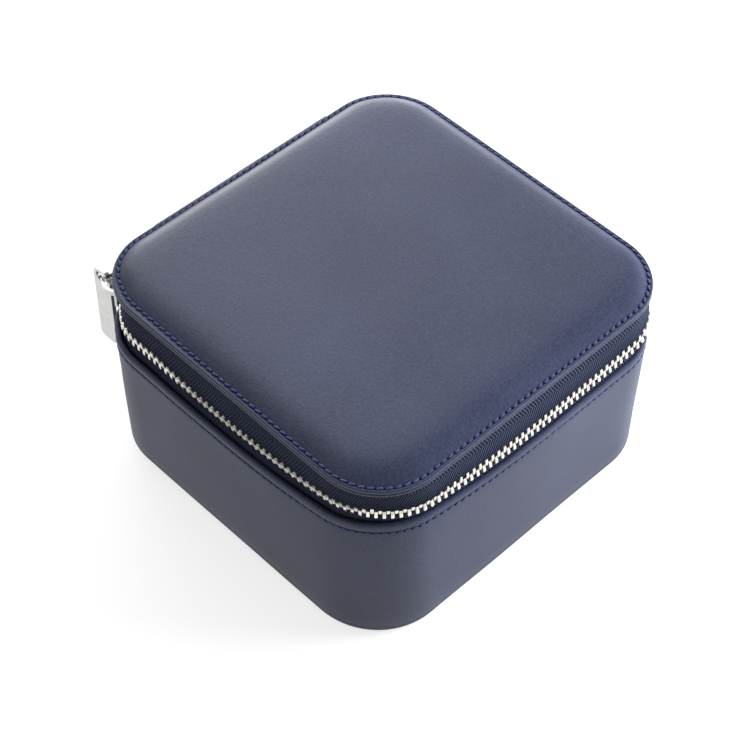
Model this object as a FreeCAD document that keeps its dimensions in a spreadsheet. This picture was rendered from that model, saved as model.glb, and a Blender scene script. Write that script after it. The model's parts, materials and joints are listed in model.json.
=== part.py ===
"""Square zip-round leather jewellery case: a rigid lined base, a padded lid on a leather back hinge,
a metal zip round the other three sides, ring rolls and dividers inside.

Units are millimetres. +Z is up, +X runs to the right along the front edge, the hinge is at the back (+Y)
and the origin is the middle of the underside.
"""
import FreeCAD, Part
import math
import os
import Sketcher

# Driving dimensions: alias, value, meaning
DIMENSIONS = (
    ("case_width", 108.0, "outside width of the base"),
    ("case_depth", 105.5, "outside depth of the base"),
    ("corner_radius", 18.0, "outside radius of the lid's corners and of the base's back corners"),
    ("front_radius", 20.0, "outside radius of the base's front corners, which the zip rounds more gently"),
    ("base_height", 42.0, "underside to the rim of the base"),
    ("zip_gap", 17.0, "rim of the base to the underside of the lid"),
    ("chain_rise", 6.0, "rim of the base to the middle of the zip chain"),
    ("leather_thickness", 1.3, "outer leather of the base"),
    ("hem_depth", 5.0, "turned-in hem at the rim of the base"),
    ("hem_thickness", 1.6, "leather and hem together at the rim"),
    ("foot_round", 1.2, "rounding of the lower edge of the base leather"),
    ("board_thickness", 2.0, "stiff board in the walls and floor"),
    ("lining_thickness", 0.8, "suede lining"),
    ("facing_rise", 1.0, "inner rim facing above the rim"),
    ("lid_inset", 0.4, "lid edge inside the base face"),
    ("lid_welt", 1.0, "under layer of the lid edge"),
    ("lid_leather_thickness", 1.0, "top leather of the lid"),
    ("lid_crown", 2.2, "padded field above the stitched margin"),
    ("stitch_margin", 3.4, "lid edge to the padded field"),
    ("crown_round", 1.8, "bevel of the padded field's edge"),
    ("lid_board_thickness", 1.4, "stiff board in the lid"),
    ("lid_facing_drop", 3.0, "inner lid facing below the lid"),
    ("pocket_depth", 3.0, "fullness of the gathered lid pocket"),
    ("pocket_height", 62.0, "height of the lid pocket"),
    ("pocket_elastic", 4.0, "width of the elastic hem of the lid pocket"),
    ("tape_thickness", 0.7, "zip tape"),
    ("tape_split", 1.0, "half the gap between the two tape edges"),
    ("tooth_pitch", 2.05, "zip tooth pitch on one tape"),
    ("tooth_length", 0.9, "zip tooth along the tape"),
    ("tooth_height", 2.5, "zip tooth across the tape"),
    ("tooth_lap", 0.5, "how far a tooth crosses the middle of the chain"),
    ("tooth_clearance", 0.05, "slot in the tooth round the tape"),
    ("tooth_thickness", 2.0, "zip tooth through the tape"),
    ("chain_end", 12.0, "right end of the hinge to the last tooth"),
    ("stop_length", 2.2, "zip end stop along the tape"),
    ("slider_angle", 70.0, "place of the slider round the left back corner"),
    ("slider_length", 9.4, "slider along the chain"),
    ("slider_nose", 8.4, "slider width at its two mouths"),
    ("slider_tail", 7.2, "slider width at its single mouth"),
    ("slider_plate", 0.9, "slider plate thickness"),
    ("slider_channel", 3.2, "slider channel through the tape"),
    ("slider_slot", 2.5, "slider side slot for the tape"),
    ("slider_lip", 0.7, "slider side lip"),
    ("post_length", 2.8, "slider post along the chain"),
    ("post_width", 1.6, "slider post across the chain"),
    ("crown_span", 7.4, "slider crown along the chain"),
    ("crown_arch", 5.6, "slider crown above the plate"),
    ("crown_strap", 0.9, "slider crown strap thickness"),
    ("crown_width", 1.5, "slider crown strap width"),
    ("tab_width", 6.4, "pull tab width"),
    ("tab_length", 26.0, "pull tab length"),
    ("tab_thickness", 1.2, "pull tab thickness"),
    ("tab_eye", 2.9, "width of the pull tab's eye"),
    ("tab_eye_wall", 0.95, "metal round the eye"),
    ("tab_round", 1.8, "lower corners of the pull tab"),
    ("pull_yaw", 20.0, "turn of the hanging pull from square to the crown"),
    ("hinge_width", 60.0, "hinge leather along the back, between the ends of the zip"),
    ("hinge_strip", 1.0, "outer hinge leather thickness"),
    ("hinge_lap", 9.0, "hinge leather glued down on the base"),
    ("hinge_slit", 0.3, "half the fold gap in the hinge pieces"),
    ("divider_thickness", 2.4, "padded divider"),
    ("divider_drop", 6.0, "divider top below the rim"),
    ("roll_count", 4.0, "ring rolls"),
    ("roll_height", 27.0, "ring roll height"),
    ("roll_round", 2.5, "rounding of the ring roll ends"),
    ("seat_gap", 0.3, "clearance between soft pieces"),
)

doc = FreeCAD.newDocument("jewellery_case")
sheet = doc.addObject("Spreadsheet::Sheet", "dims")
for row, (alias, value, meaning) in enumerate(DIMENSIONS, start=1):
    sheet.set(f"A{row}", meaning)
    sheet.set(f"B{row}", str(value))
    sheet.setAlias(f"B{row}", alias)
doc.recompute()


def size(expression):
    """The number that an expression of sheet cells comes to."""
    return float(sheet.evalExpression(expression))


# Places that several pieces share, as expressions of the sheet's cells
HALF_X = "dims.case_width / 2"
HALF_Y = "dims.case_depth / 2"
BOARD_FACE = "dims.leather_thickness"
LINING_FACE = f"({BOARD_FACE} + dims.board_thickness)"
INNER_FACE = f"({LINING_FACE} + dims.lining_thickness)"
TAPE_FACE = "dims.hem_thickness"
TAPE_BACK = "(dims.hem_thickness + dims.tape_thickness)"
TAPE_MIDDLE = "(dims.hem_thickness + dims.tape_thickness / 2)"
HEM_FOOT = "(dims.base_height - dims.hem_depth)"
FLOOR_BOARD = "dims.leather_thickness"
FLOOR_LINING = "(dims.leather_thickness + dims.board_thickness)"
FLOOR_TOP = f"({FLOOR_LINING} + dims.lining_thickness)"
CHAIN_LEVEL = "(dims.base_height + dims.chain_rise)"
LID_FOOT = "(dims.base_height + dims.zip_gap)"
LID_MARGIN = f"({LID_FOOT} + dims.lid_welt)"
LID_EDGE_TOP = f"({LID_MARGIN} + dims.lid_leather_thickness)"
FIELD_INSET = "(dims.lid_inset + dims.stitch_margin)"
WELL_INSET = f"({FIELD_INSET} + dims.lid_leather_thickness)"
LID_BOARD_FOOT = f"({LID_FOOT} + dims.lining_thickness)"
LID_PAD_FOOT = f"({LID_BOARD_FOOT} + dims.lid_board_thickness)"
LID_PAD_TOP = f"({LID_EDGE_TOP} + dims.lid_crown - dims.lid_leather_thickness)"
STRAIGHT_X = f"({HALF_X} - dims.corner_radius)"
STRAIGHT_Y = f"({HALF_Y} - dims.corner_radius)"
HINGE_HALF = "(dims.hinge_width / 2)"
SAME_CORNERS = "dims.corner_radius"
BASE_FRONT = "dims.front_radius"


def new_body(label):
    """An empty body whose label names its file."""
    body = doc.addObject("PartDesign::Body", label)
    body.Label = label
    return body


def new_sketch(body, name, role="XY_Plane", lift=None):
    """A sketch on one of the body's own planes, lifted along that plane's normal."""
    sketch = body.newObject("Sketcher::SketchObject", name)
    plane = next(f for f in body.Origin.OriginFeatures if f.Role == role)
    sketch.AttachmentSupport = [(plane, "")]
    sketch.MapMode = "FlatFace"
    if lift is not None:
        sketch.setExpression("AttachmentOffset.Base.z", lift)
    return sketch


def constrain(sketch, name, kind, *where, expression):
    """One named dimension of a sketch, bound to an expression."""
    index = sketch.addConstraint(Sketcher.Constraint(kind, *where, size(expression)))
    sketch.renameConstraint(index, name)
    sketch.setExpression(f"Constraints.{name}", expression)


def rounded_loop(sketch, name, inset, front=SAME_CORNERS):
    """A closed rounded rectangle, the case's outline moved in by inset, with its own front corner radius."""
    half_x, half_y = f"{HALF_X} - ({inset})", f"{HALF_Y} - ({inset})"
    back_radius, front_radius = f"dims.corner_radius - ({inset})", f"{front} - ({inset})"
    x, y = size(half_x), size(half_y)
    corners = ((1, 1), (-1, 1), (-1, -1), (1, -1))
    arcs = []
    for turn, (sx, sy) in enumerate(corners):
        r = size(back_radius if sy > 0 else front_radius)
        middle = FreeCAD.Vector(sx * (x - r), sy * (y - r), 0)
        circle = Part.Circle(middle, FreeCAD.Vector(0, 0, 1), r)
        start = turn * math.pi / 2
        arcs.append(sketch.addGeometry(Part.ArcOfCircle(circle, start, start + math.pi / 2)))
    lines = []
    for turn in range(4):
        here, there = arcs[turn], arcs[(turn + 1) % 4]
        begin = sketch.getPoint(here, 2)
        end = sketch.getPoint(there, 1)
        lines.append(sketch.addGeometry(Part.LineSegment(begin, end)))
    for turn in range(4):
        sketch.addConstraint(Sketcher.Constraint("Tangent", arcs[turn], 2, lines[turn], 1))
        sketch.addConstraint(Sketcher.Constraint("Tangent", lines[turn], 2, arcs[(turn + 1) % 4], 1))
    sketch.addConstraint(Sketcher.Constraint("Equal", arcs[0], arcs[1]))
    sketch.addConstraint(Sketcher.Constraint("Equal", arcs[2], arcs[3]))
    for line, direction in zip(lines, ("Horizontal", "Vertical", "Horizontal", "Vertical")):
        sketch.addConstraint(Sketcher.Constraint(direction, line))
    constrain(sketch, f"{name}_back_corner", "Radius", arcs[0], expression=back_radius)
    constrain(sketch, f"{name}_front_corner", "Radius", arcs[2], expression=front_radius)
    constrain(sketch, f"{name}_back", "DistanceY", -1, 1, lines[0], 1, expression=half_y)
    constrain(sketch, f"{name}_left", "DistanceX", lines[1], 1, -1, 1, expression=half_x)
    constrain(sketch, f"{name}_front", "DistanceY", lines[2], 1, -1, 1, expression=half_y)
    constrain(sketch, f"{name}_right", "DistanceX", -1, 1, lines[3], 1, expression=half_x)


def rectangle(sketch, name, low_x, high_x, low_y, high_y):
    """A closed rectangle between four expressions, each negative or positive as its sign says."""
    x0, x1, y0, y1 = (size(e) for e in (low_x, high_x, low_y, high_y))
    points = [FreeCAD.Vector(*p, 0) for p in ((x0, y0), (x1, y0), (x1, y1), (x0, y1))]
    lines = [sketch.addGeometry(Part.LineSegment(points[i], points[(i + 1) % 4])) for i in range(4)]
    for i in range(4):
        sketch.addConstraint(Sketcher.Constraint("Coincident", lines[i], 2, lines[(i + 1) % 4], 1))
    for line, direction in zip(lines, ("Horizontal", "Vertical", "Horizontal", "Vertical")):
        sketch.addConstraint(Sketcher.Constraint(direction, line))
    corners = (("DistanceX", lines[0], "low_x", low_x), ("DistanceY", lines[0], "low_y", low_y),
               ("DistanceX", lines[2], "high_x", high_x), ("DistanceY", lines[2], "high_y", high_y))
    for kind, line, word, expression in corners:
        if size(expression) < 0:
            constrain(sketch, f"{name}_{word}", kind, line, 1, -1, 1, expression=f"-({expression})")
        else:
            constrain(sketch, f"{name}_{word}", kind, -1, 1, line, 1, expression=expression)


def pad(body, sketch, length, name="pad", both_ways=False):
    """Pads a sketch along its normal, or to both sides of it."""
    feature = body.newObject("PartDesign::Pad", f"{body.Name}_{name}")
    feature.Profile = sketch
    feature.setExpression("Length", length)
    if both_ways:
        feature.SideType = "Symmetric"
    return feature


def pocket(body, sketch, depth, name="pocket", upward=False, both_ways=False):
    """Cuts a sketch down into the body, or upward or both ways, and checks that it removed something."""
    doc.recompute()
    before = body.Shape.Volume
    feature = body.newObject("PartDesign::Pocket", f"{body.Name}_{name}")
    feature.Profile = sketch
    feature.setExpression("Length", depth)
    feature.Reversed = upward
    if both_ways:
        feature.SideType = "Symmetric"
    doc.recompute()
    if body.Shape.Volume >= before:
        raise RuntimeError(f"{feature.Name} cut nothing")
    return feature


def ease_edges(body, wanted, reach, name, kind="Fillet"):
    """Rounds or bevels the edges of the body's tip that the wanted test picks."""
    doc.recompute()
    tip = body.Tip
    names = [f"Edge{i}" for i, edge in enumerate(tip.Shape.Edges, start=1) if wanted(edge)]
    feature = body.newObject(f"PartDesign::{kind}", f"{body.Name}_{name}")
    feature.Base = (tip, names)
    feature.setExpression({"Fillet": "Radius", "Chamfer": "Size"}[kind], reach)
    return feature


def level_edge(height):
    """A test for edges that lie flat at a height."""
    return lambda edge: all(abs(v.Z - height) < 1e-4 for v in edge.Vertexes)


def plate(label, inset, foot, thickness, front=SAME_CORNERS):
    """A flat rounded plate, the case's outline moved in by inset."""
    body = new_body(label)
    sketch = new_sketch(body, f"{label}_outline", lift=foot)
    rounded_loop(sketch, "edge", inset, front)
    pad(body, sketch, thickness)
    return body


def ring(label, outer, inner, foot, height, front=BASE_FRONT, without_back=False):
    """An upright rounded wall between two insets, closed, or open across the hinge at the back."""
    body = new_body(label)
    sketch = new_sketch(body, f"{label}_outline", lift=foot)
    rounded_loop(sketch, "outer", outer, front)
    rounded_loop(sketch, "inner", inner, front)
    pad(body, sketch, height)
    if without_back:
        gap = new_sketch(body, f"{label}_back_gap", lift=f"{foot} + {height}")
        rectangle(gap, "gap", f"-{HINGE_HALF}", HINGE_HALF, STRAIGHT_Y, HALF_Y)
        pocket(body, gap, height)
    return body


def block(label, corner, extent):
    """A plain box piece from its low corner and its extent, each three expressions."""
    box = doc.addObject("Part::Box", label)
    box.Label = label
    for side, expression in zip(("Length", "Width", "Height"), extent):
        box.setExpression(side, expression)
    for axis, expression in zip("xyz", corner):
        box.setExpression(f"Placement.Base.{axis}", expression)
    return box


def middle_of(edge):
    """The point halfway along an edge."""
    return edge.valueAt((edge.FirstParameter + edge.LastParameter) / 2)


def outline_edge(height, inset, front=SAME_CORNERS):
    """A test for edges that lie flat at a height on the case's outline moved in by inset."""
    half_x, half_y = size(f"{HALF_X} - ({inset})"), size(f"{HALF_Y} - ({inset})")
    back_radius, front_radius = size(f"dims.corner_radius - ({inset})"), size(f"{front} - ({inset})")

    def wanted(edge):
        if not level_edge(height)(edge):
            return False
        point = middle_of(edge)
        radius = back_radius if point.y > 0 else front_radius
        dx, dy = abs(point.x) - half_x, abs(point.y) - half_y
        if dx > -radius and dy > -radius:
            return abs(math.hypot(dx + radius, dy + radius) - radius) < 1e-3
        return abs(max(dx, dy)) < 1e-3

    return wanted


def build_base():
    """Leather, boards and linings of the base."""
    leather = ring("base_wall_leather", "0", BOARD_FACE, "0", "dims.base_height")
    hem = new_sketch(leather, "base_hem_outline", lift=HEM_FOOT)
    rounded_loop(hem, "outer", f"{BOARD_FACE} / 2", BASE_FRONT)
    rounded_loop(hem, "inner", TAPE_FACE, BASE_FRONT)
    pad(leather, hem, "dims.hem_depth", "hem")
    rim = outline_edge(size("dims.base_height"), "0", BASE_FRONT)
    ease_edges(leather, rim, "dims.hem_thickness / 2", "rim", "Chamfer")
    ease_edges(leather, outline_edge(0, "0", BASE_FRONT), "dims.foot_round", "foot", "Chamfer")
    plate("base_bottom_leather", BOARD_FACE, "0", "dims.leather_thickness", BASE_FRONT)
    plate("base_floor_board", BOARD_FACE, FLOOR_BOARD, "dims.board_thickness", BASE_FRONT)
    ring("base_wall_board", BOARD_FACE, LINING_FACE, FLOOR_LINING, f"{HEM_FOOT} - {FLOOR_LINING}")
    plate("base_floor_lining", LINING_FACE, FLOOR_LINING, "dims.lining_thickness", BASE_FRONT)
    ring("base_wall_lining", LINING_FACE, INNER_FACE, FLOOR_TOP, f"{HEM_FOOT} - {FLOOR_TOP}")
    ring("base_rim_facing", TAPE_BACK, INNER_FACE, HEM_FOOT, "dims.hem_depth + dims.facing_rise")


def build_inside():
    """Dividers and ring rolls that stand on the floor lining."""
    room_x = f"({HALF_X} - {INNER_FACE})"
    room_y = f"({HALF_Y} - {INNER_FACE})"
    top = "(dims.base_height - dims.divider_drop)"
    half = "dims.divider_thickness / 2"
    block("long_divider", (f"-{room_x}", f"-{half}", FLOOR_TOP),
          (f"2 * {room_x}", "dims.divider_thickness", f"{top} - {FLOOR_TOP}"))
    block("short_divider", (f"-{half}", f"-{room_y}", FLOOR_TOP),
          ("dims.divider_thickness", f"{room_y} - {half}", f"{top} - {FLOOR_TOP}"))
    pitch = f"(({room_y} - {half} - dims.seat_gap) / dims.roll_count)"
    corner = f"(dims.corner_radius - {INNER_FACE})"
    for number in range(int(size("dims.roll_count"))):
        near = f"({half} + dims.seat_gap + {number} * {pitch})"
        far = f"({near} + {pitch} - dims.seat_gap)"
        into = f"max(0; {far} - {room_y} + {corner})"
        short = f"({corner} - sqrt(max(1; {corner} * {corner} - {into} * {into})))"
        roll = new_body(f"ring_roll_{number + 1}")
        build_roll(roll, near, far, f"({room_x} - {short} - dims.seat_gap)")


def build_roll(body, near, far, reach):
    """A padded roll with a round top, along X, between two places in Y."""
    sketch = new_sketch(body, f"{body.Name}_section", role="YZ_Plane")
    y0, y1, z0 = size(near), size(far), size(FLOOR_TOP)
    radius = (y1 - y0) / 2
    z1 = z0 + size("dims.roll_height") - radius
    middle = FreeCAD.Vector((y0 + y1) / 2, z1, 0)
    corners = [FreeCAD.Vector(y, z, 0) for y, z in ((y0, z1), (y0, z0), (y1, z0), (y1, z1))]
    lines = [sketch.addGeometry(Part.LineSegment(corners[i], corners[i + 1])) for i in range(3)]
    circle = Part.Circle(middle, FreeCAD.Vector(0, 0, 1), radius)
    arc = sketch.addGeometry(Part.ArcOfCircle(circle, 0, math.pi))
    for i in range(2):
        sketch.addConstraint(Sketcher.Constraint("Coincident", lines[i], 2, lines[i + 1], 1))
    sketch.addConstraint(Sketcher.Constraint("Tangent", lines[2], 2, arc, 1))
    sketch.addConstraint(Sketcher.Constraint("Tangent", arc, 2, lines[0], 1))
    sketch.addConstraint(Sketcher.Constraint("Vertical", lines[0]))
    sketch.addConstraint(Sketcher.Constraint("Horizontal", lines[1]))
    constrain(sketch, "near_side", "DistanceX", -1, 1, lines[0], 2, expression=near)
    constrain(sketch, "far_side", "DistanceX", -1, 1, lines[1], 2, expression=far)
    constrain(sketch, "foot", "DistanceY", -1, 1, lines[1], 1, expression=FLOOR_TOP)
    straight = f"dims.roll_height - ({far} - {near}) / 2"
    constrain(sketch, "side_height", "DistanceY", lines[2], 1, lines[2], 2, expression=straight)
    pad(body, sketch, f"2 * {reach}", both_ways=True)
    ends = size(reach)
    high = size(FLOOR_TOP) + 1e-3

    def end_arc(edge):
        return all(abs(abs(v.X) - ends) < 1e-4 and v.Z > high for v in edge.Vertexes)

    ease_edges(body, end_arc, "dims.roll_round", "ends", "Chamfer")


def build_lid():
    """Leather, padding, board, lining and pocket of the lid."""
    leather = plate("lid_leather", "dims.lid_inset", LID_MARGIN, "dims.lid_leather_thickness")
    field = new_sketch(leather, "lid_field_outline", lift=LID_MARGIN)
    rounded_loop(field, "field", FIELD_INSET)
    pad(leather, field, "dims.lid_leather_thickness + dims.lid_crown", "field")
    crest = size(f"{LID_EDGE_TOP} + dims.lid_crown")
    ease_edges(leather, outline_edge(crest, FIELD_INSET), "dims.crown_round", "crest", "Chamfer")
    upper = outline_edge(crest, f"{FIELD_INSET} + dims.crown_round")
    lower = outline_edge(crest - size("dims.crown_round"), FIELD_INSET)
    ease_edges(leather, lambda edge: upper(edge) or lower(edge), "dims.crown_round / 5", "soft", "Chamfer")
    well = new_sketch(leather, "lid_well_outline", lift=LID_PAD_TOP)
    rounded_loop(well, "well", WELL_INSET)
    pocket(leather, well, f"{LID_PAD_TOP} - {LID_MARGIN}", "well")
    plate("lid_padding", f"{WELL_INSET} + dims.seat_gap", LID_PAD_FOOT, f"{LID_PAD_TOP} - {LID_PAD_FOOT}")
    plate("lid_board", f"{WELL_INSET} + dims.seat_gap", LID_BOARD_FOOT, "dims.lid_board_thickness")
    ring("lid_welt", "dims.lid_inset", f"{WELL_INSET} + dims.seat_gap", LID_FOOT, "dims.lid_welt",
         SAME_CORNERS)
    plate("lid_lining", f"{WELL_INSET} + dims.seat_gap", LID_FOOT, "dims.lining_thickness")
    ring("lid_rim_facing", TAPE_BACK, INNER_FACE, f"{LID_FOOT} - dims.lid_facing_drop",
         "dims.lid_facing_drop")
    build_pocket()


def build_pocket():
    """The gathered pocket under the lid and its elastic hem."""
    side = f"({HALF_X} - {WELL_INSET} - 2 * dims.seat_gap)"
    back = f"({HALF_Y} - {WELL_INSET} - 2 * dims.seat_gap)"
    mouth = f"({back} - dims.pocket_height)"
    body = new_body("lid_pocket")
    sketch = new_sketch(body, "lid_pocket_outline", lift=f"{LID_FOOT} - dims.pocket_depth")
    rounded_loop(sketch, "edge", f"({WELL_INSET} + 2 * dims.seat_gap)")
    pad(body, sketch, "dims.pocket_depth")
    front = new_sketch(body, "lid_pocket_mouth", lift=LID_FOOT)
    rectangle(front, "front", f"-{HALF_X}", HALF_X, f"-{HALF_Y}", mouth)
    pocket(body, front, "dims.pocket_depth", "mouth")
    low = size(f"{LID_FOOT} - dims.pocket_depth")
    ease_edges(body, level_edge(low), "dims.pocket_depth * 0.6", "fullness", "Chamfer")
    hem_place = (f"-{side}", f"{mouth} - dims.pocket_elastic", f"{LID_FOOT} - dims.pocket_depth")
    block("lid_pocket_elastic", hem_place, (f"2 * {side}", "dims.pocket_elastic", "dims.pocket_depth"))


def zip_bends():
    """Corners of the zip's path in its order: middle in x and y, radius and the angle where each starts."""
    half_x, half_y, inset = size(HALF_X), size(HALF_Y), size(TAPE_MIDDLE)
    back, front = size("dims.corner_radius"), size("dims.front_radius")
    corners = ((-1, 1, back), (-1, -1, front), (1, -1, front), (1, 1, back))
    return [(sx * (half_x - r), sy * (half_y - r), r - inset, (turn + 1) * math.pi / 2)
            for turn, (sx, sy, r) in enumerate(corners)]


def zip_runs():
    """Straight stretches of the zip's path after each of its first three corners, as two end points."""
    bends = zip_bends()
    runs = []
    for (x0, y0, r0, start), (x1, y1, r1, _) in zip(bends, bends[1:]):
        across, ahead = math.cos(start + math.pi / 2), math.sin(start + math.pi / 2)
        runs.append(((x0 + r0 * across, y0 + r0 * ahead), (x1 + r1 * across, y1 + r1 * ahead)))
    return runs


def path_lead():
    """Straight stretch of the zip's path along the back, between an end of the hinge and the corner."""
    return size(f"{STRAIGHT_X} - {HINGE_HALF}")


def path_length():
    """The zip's path from the left end of the hinge, round the front, to its right end."""
    turns = sum(radius * math.pi / 2 for _, _, radius, _ in zip_bends())
    return 2 * path_lead() + turns + sum(math.dist(begin, end) for begin, end in zip_runs())


def path_place(distance):
    """Point on the zip's path and its outward direction, as x, y and an angle."""
    left = distance - path_lead()
    if left < 0:
        return -size(STRAIGHT_X) - left, size(f"{HALF_Y} - {TAPE_MIDDLE}"), math.pi / 2
    runs = zip_runs()
    for turn, (x, y, radius, start) in enumerate(zip_bends()):
        bend = radius * math.pi / 2
        if left <= bend:
            angle = start + left / radius
            return x + radius * math.cos(angle), y + radius * math.sin(angle), angle
        left -= bend
        if turn == len(runs):
            break
        begin, end = runs[turn]
        span = math.dist(begin, end)
        if left <= span:
            share = left / span
            point = [a + (b - a) * share for a, b in zip(begin, end)]
            return point[0], point[1], start + math.pi / 2
        left -= span
    raise ValueError("place beyond the end of the zip")


def slider_path():
    """Distance along the zip's path at which the slider stands."""
    radius = size(f"dims.corner_radius - {TAPE_MIDDLE}")
    return path_lead() + radius * math.radians(90 - size("dims.slider_angle"))


def forked(outer, length, side):
    """A piece forked round its tape, side +1 for the upper tape and -1 for the lower.

    Half its profile is given as (outward, up) points and the other half mirrors it.
    """
    inner = tuple((-y, z) for y, z in reversed(outer))
    profile = [FreeCAD.Vector(-length / 2, y, side * z) for y, z in outer + inner]
    wire = Part.makePolygon(profile + profile[:1])
    return Part.Face(wire).extrude(FreeCAD.Vector(length, 0, 0))


def on_path(piece, distance):
    """A copy of a piece at a distance along the zip's path, level with the middle of the chain."""
    x, y, angle = path_place(distance)
    turn = FreeCAD.Rotation(FreeCAD.Vector(0, 0, 1), math.degrees(angle) - 90)
    copy = piece.copy()
    copy.Placement = FreeCAD.Placement(FreeCAD.Vector(x, y, size(CHAIN_LEVEL)), turn)
    return copy


def metal_piece(label, shape):
    """Puts a finished shape of the zip into the document."""
    feature = doc.addObject("Part::Feature", label)
    feature.Label = label
    feature.Shape = shape


def build_teeth(label, side, offset):
    """The row of flat-faced teeth on one tape, each with a narrower head that crosses the chain's middle."""
    deep = size("dims.tooth_thickness / 2")
    neck = deep * 0.7
    slot = size("dims.tape_thickness / 2 + dims.tooth_clearance")
    lap, split = size("dims.tooth_lap"), size("dims.tape_split - dims.tooth_clearance")
    tall = size("dims.tooth_height - dims.tooth_lap")
    tooth = forked(((neck, -lap), (deep, tall), (slot, tall), (slot, split)), size("dims.tooth_length"), side)
    place = slider_path() + size("dims.slider_length / 2 + dims.tooth_pitch / 2") + offset
    end = path_length() - size("dims.chain_end")
    row = []
    while place < end:
        row.append(on_path(tooth, place))
        place += size("dims.tooth_pitch")
    metal_piece(label, Part.makeCompound(row))


def build_stop(label, side, distance):
    """A small metal stop clamped round the edge of a tape at a distance along the zip's path."""
    deep = size("dims.tooth_thickness / 2")
    slot = size("dims.tape_thickness / 2 + 2 * dims.tooth_clearance")
    near, split = size("dims.tape_split / 2"), size("dims.tape_split - dims.tooth_clearance")
    far = size("dims.tooth_height")
    stop = forked(((deep, near), (deep, far), (slot, far), (slot, split)), size("dims.stop_length"), side)
    metal_piece(label, on_path(stop, distance))


def build_zip():
    """Tapes, teeth and stops of the zip."""
    tape_top = f"{CHAIN_LEVEL} - dims.tape_split"
    ring("zip_tape_lower", TAPE_FACE, TAPE_BACK, HEM_FOOT, f"{tape_top} - {HEM_FOOT}", without_back=True)
    tape_foot = f"({CHAIN_LEVEL} + dims.tape_split)"
    ring("zip_tape_upper", TAPE_FACE, TAPE_BACK, tape_foot, f"{LID_FOOT} - {tape_foot}", without_back=True)
    build_teeth("zip_teeth_upper", 1, 0)
    build_teeth("zip_teeth_lower", -1, size("dims.tooth_pitch / 2"))
    nose = slider_path() - size("dims.slider_length / 2 + dims.stop_length")
    build_stop("zip_stop_upper", 1, nose)
    build_stop("zip_stop_lower", -1, nose)


def build_hinge():
    """Leather strip and inner gusset along the back, each in a base half and a lid half."""
    fold_low = f"({CHAIN_LEVEL} - dims.hinge_slit)"
    fold_high = f"({CHAIN_LEVEL} + dims.hinge_slit)"
    strip_foot = "(dims.base_height - dims.hinge_lap)"
    across = "dims.hinge_width"
    block("hinge_strip_lower", (f"-{HINGE_HALF}", HALF_Y, strip_foot),
          (across, "dims.hinge_strip", f"{fold_low} - {strip_foot}"))
    block("hinge_strip_upper", (f"-{HINGE_HALF}", f"{HALF_Y} - dims.lid_inset", fold_high),
          (across, "dims.hinge_strip + dims.lid_inset", f"{LID_EDGE_TOP} - {fold_high}"))
    gusset = f"{HALF_Y} - {TAPE_BACK}"
    block("hinge_gusset_lower", (f"-{HINGE_HALF}", gusset, HEM_FOOT),
          (across, "dims.tape_thickness", f"{fold_low} - {HEM_FOOT}"))
    block("hinge_gusset_upper", (f"-{HINGE_HALF}", gusset, fold_high),
          (across, "dims.tape_thickness", f"{LID_FOOT} - {fold_high}"))


PLATE_FACE = "(dims.slider_channel / 2 + dims.slider_plate)"
STRAP_LEVEL = f"({PLATE_FACE} + dims.crown_arch - dims.crown_strap / 2)"


def outline(sketch, name, points):
    """A closed run of lines through points, each a pair of expressions."""
    places = [FreeCAD.Vector(size(x), size(y), 0) for x, y in points]
    count = len(points)
    lines = [sketch.addGeometry(Part.LineSegment(places[i], places[(i + 1) % count])) for i in range(count)]
    for i in range(count):
        sketch.addConstraint(Sketcher.Constraint("Coincident", lines[i], 2, lines[(i + 1) % count], 1))
    for i, pair in enumerate(points):
        for kind, axis, expression in zip(("DistanceX", "DistanceY"), (-2, -1), pair):
            word = f"{name}_{i}_{kind[-1].lower()}"
            if abs(size(expression)) < 1e-9:
                sketch.addConstraint(Sketcher.Constraint("PointOnObject", lines[i], 1, axis))
            elif size(expression) < 0:
                constrain(sketch, word, kind, lines[i], 1, -1, 1, expression=f"-({expression})")
            else:
                constrain(sketch, word, kind, -1, 1, lines[i], 1, expression=expression)


def build_slider_body():
    """Two plates joined by a post, with a channel for the teeth and side slots for the tapes.

    Own axes: x along the chain towards the single mouth, y up, z outward from the case.
    """
    body = new_body("slider_body")
    end = "dims.slider_length / 2"
    shoulder = f"({end} - dims.slider_length / 4)"
    nose, tail = "dims.slider_nose / 2", "dims.slider_tail / 2"
    front = f"({nose} * 0.8)"
    shape = new_sketch(body, "slider_outline")
    outline(shape, "rim", ((f"-{end}", f"-{front}"), (f"-{shoulder}", f"-{nose}"), (end, f"-{tail}"),
                           (end, tail), (f"-{shoulder}", nose), (f"-{end}", front)))
    pad(body, shape, f"2 * {PLATE_FACE}", both_ways=True)
    tip = f"(-{end} + dims.post_width / 4)"
    belly = f"({tip} + dims.post_length / 2)"
    back = f"({tip} + dims.post_length)"
    post = ((tip, "0"), (belly, "-dims.post_width / 2"), (back, "0"), (belly, "dims.post_width / 2"))
    beyond = "dims.slider_length"
    slot = new_sketch(body, "slider_slot_outline")
    rectangle(slot, "slot", f"-{beyond}", beyond, f"-{beyond}", beyond)
    outline(slot, "post", post)
    pocket(body, slot, "dims.slider_slot", "slot", both_ways=True)
    half = f"({tail} - dims.slider_lip)"
    channel = new_sketch(body, "slider_channel_outline")
    rectangle(channel, "channel", f"-{beyond}", beyond, f"-{half}", half)
    outline(channel, "post", post)
    pocket(body, channel, "dims.slider_channel", "channel", both_ways=True)
    ease_edges(body, level_edge(size(PLATE_FACE)), "dims.slider_plate / 2", "face")
    return body


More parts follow.
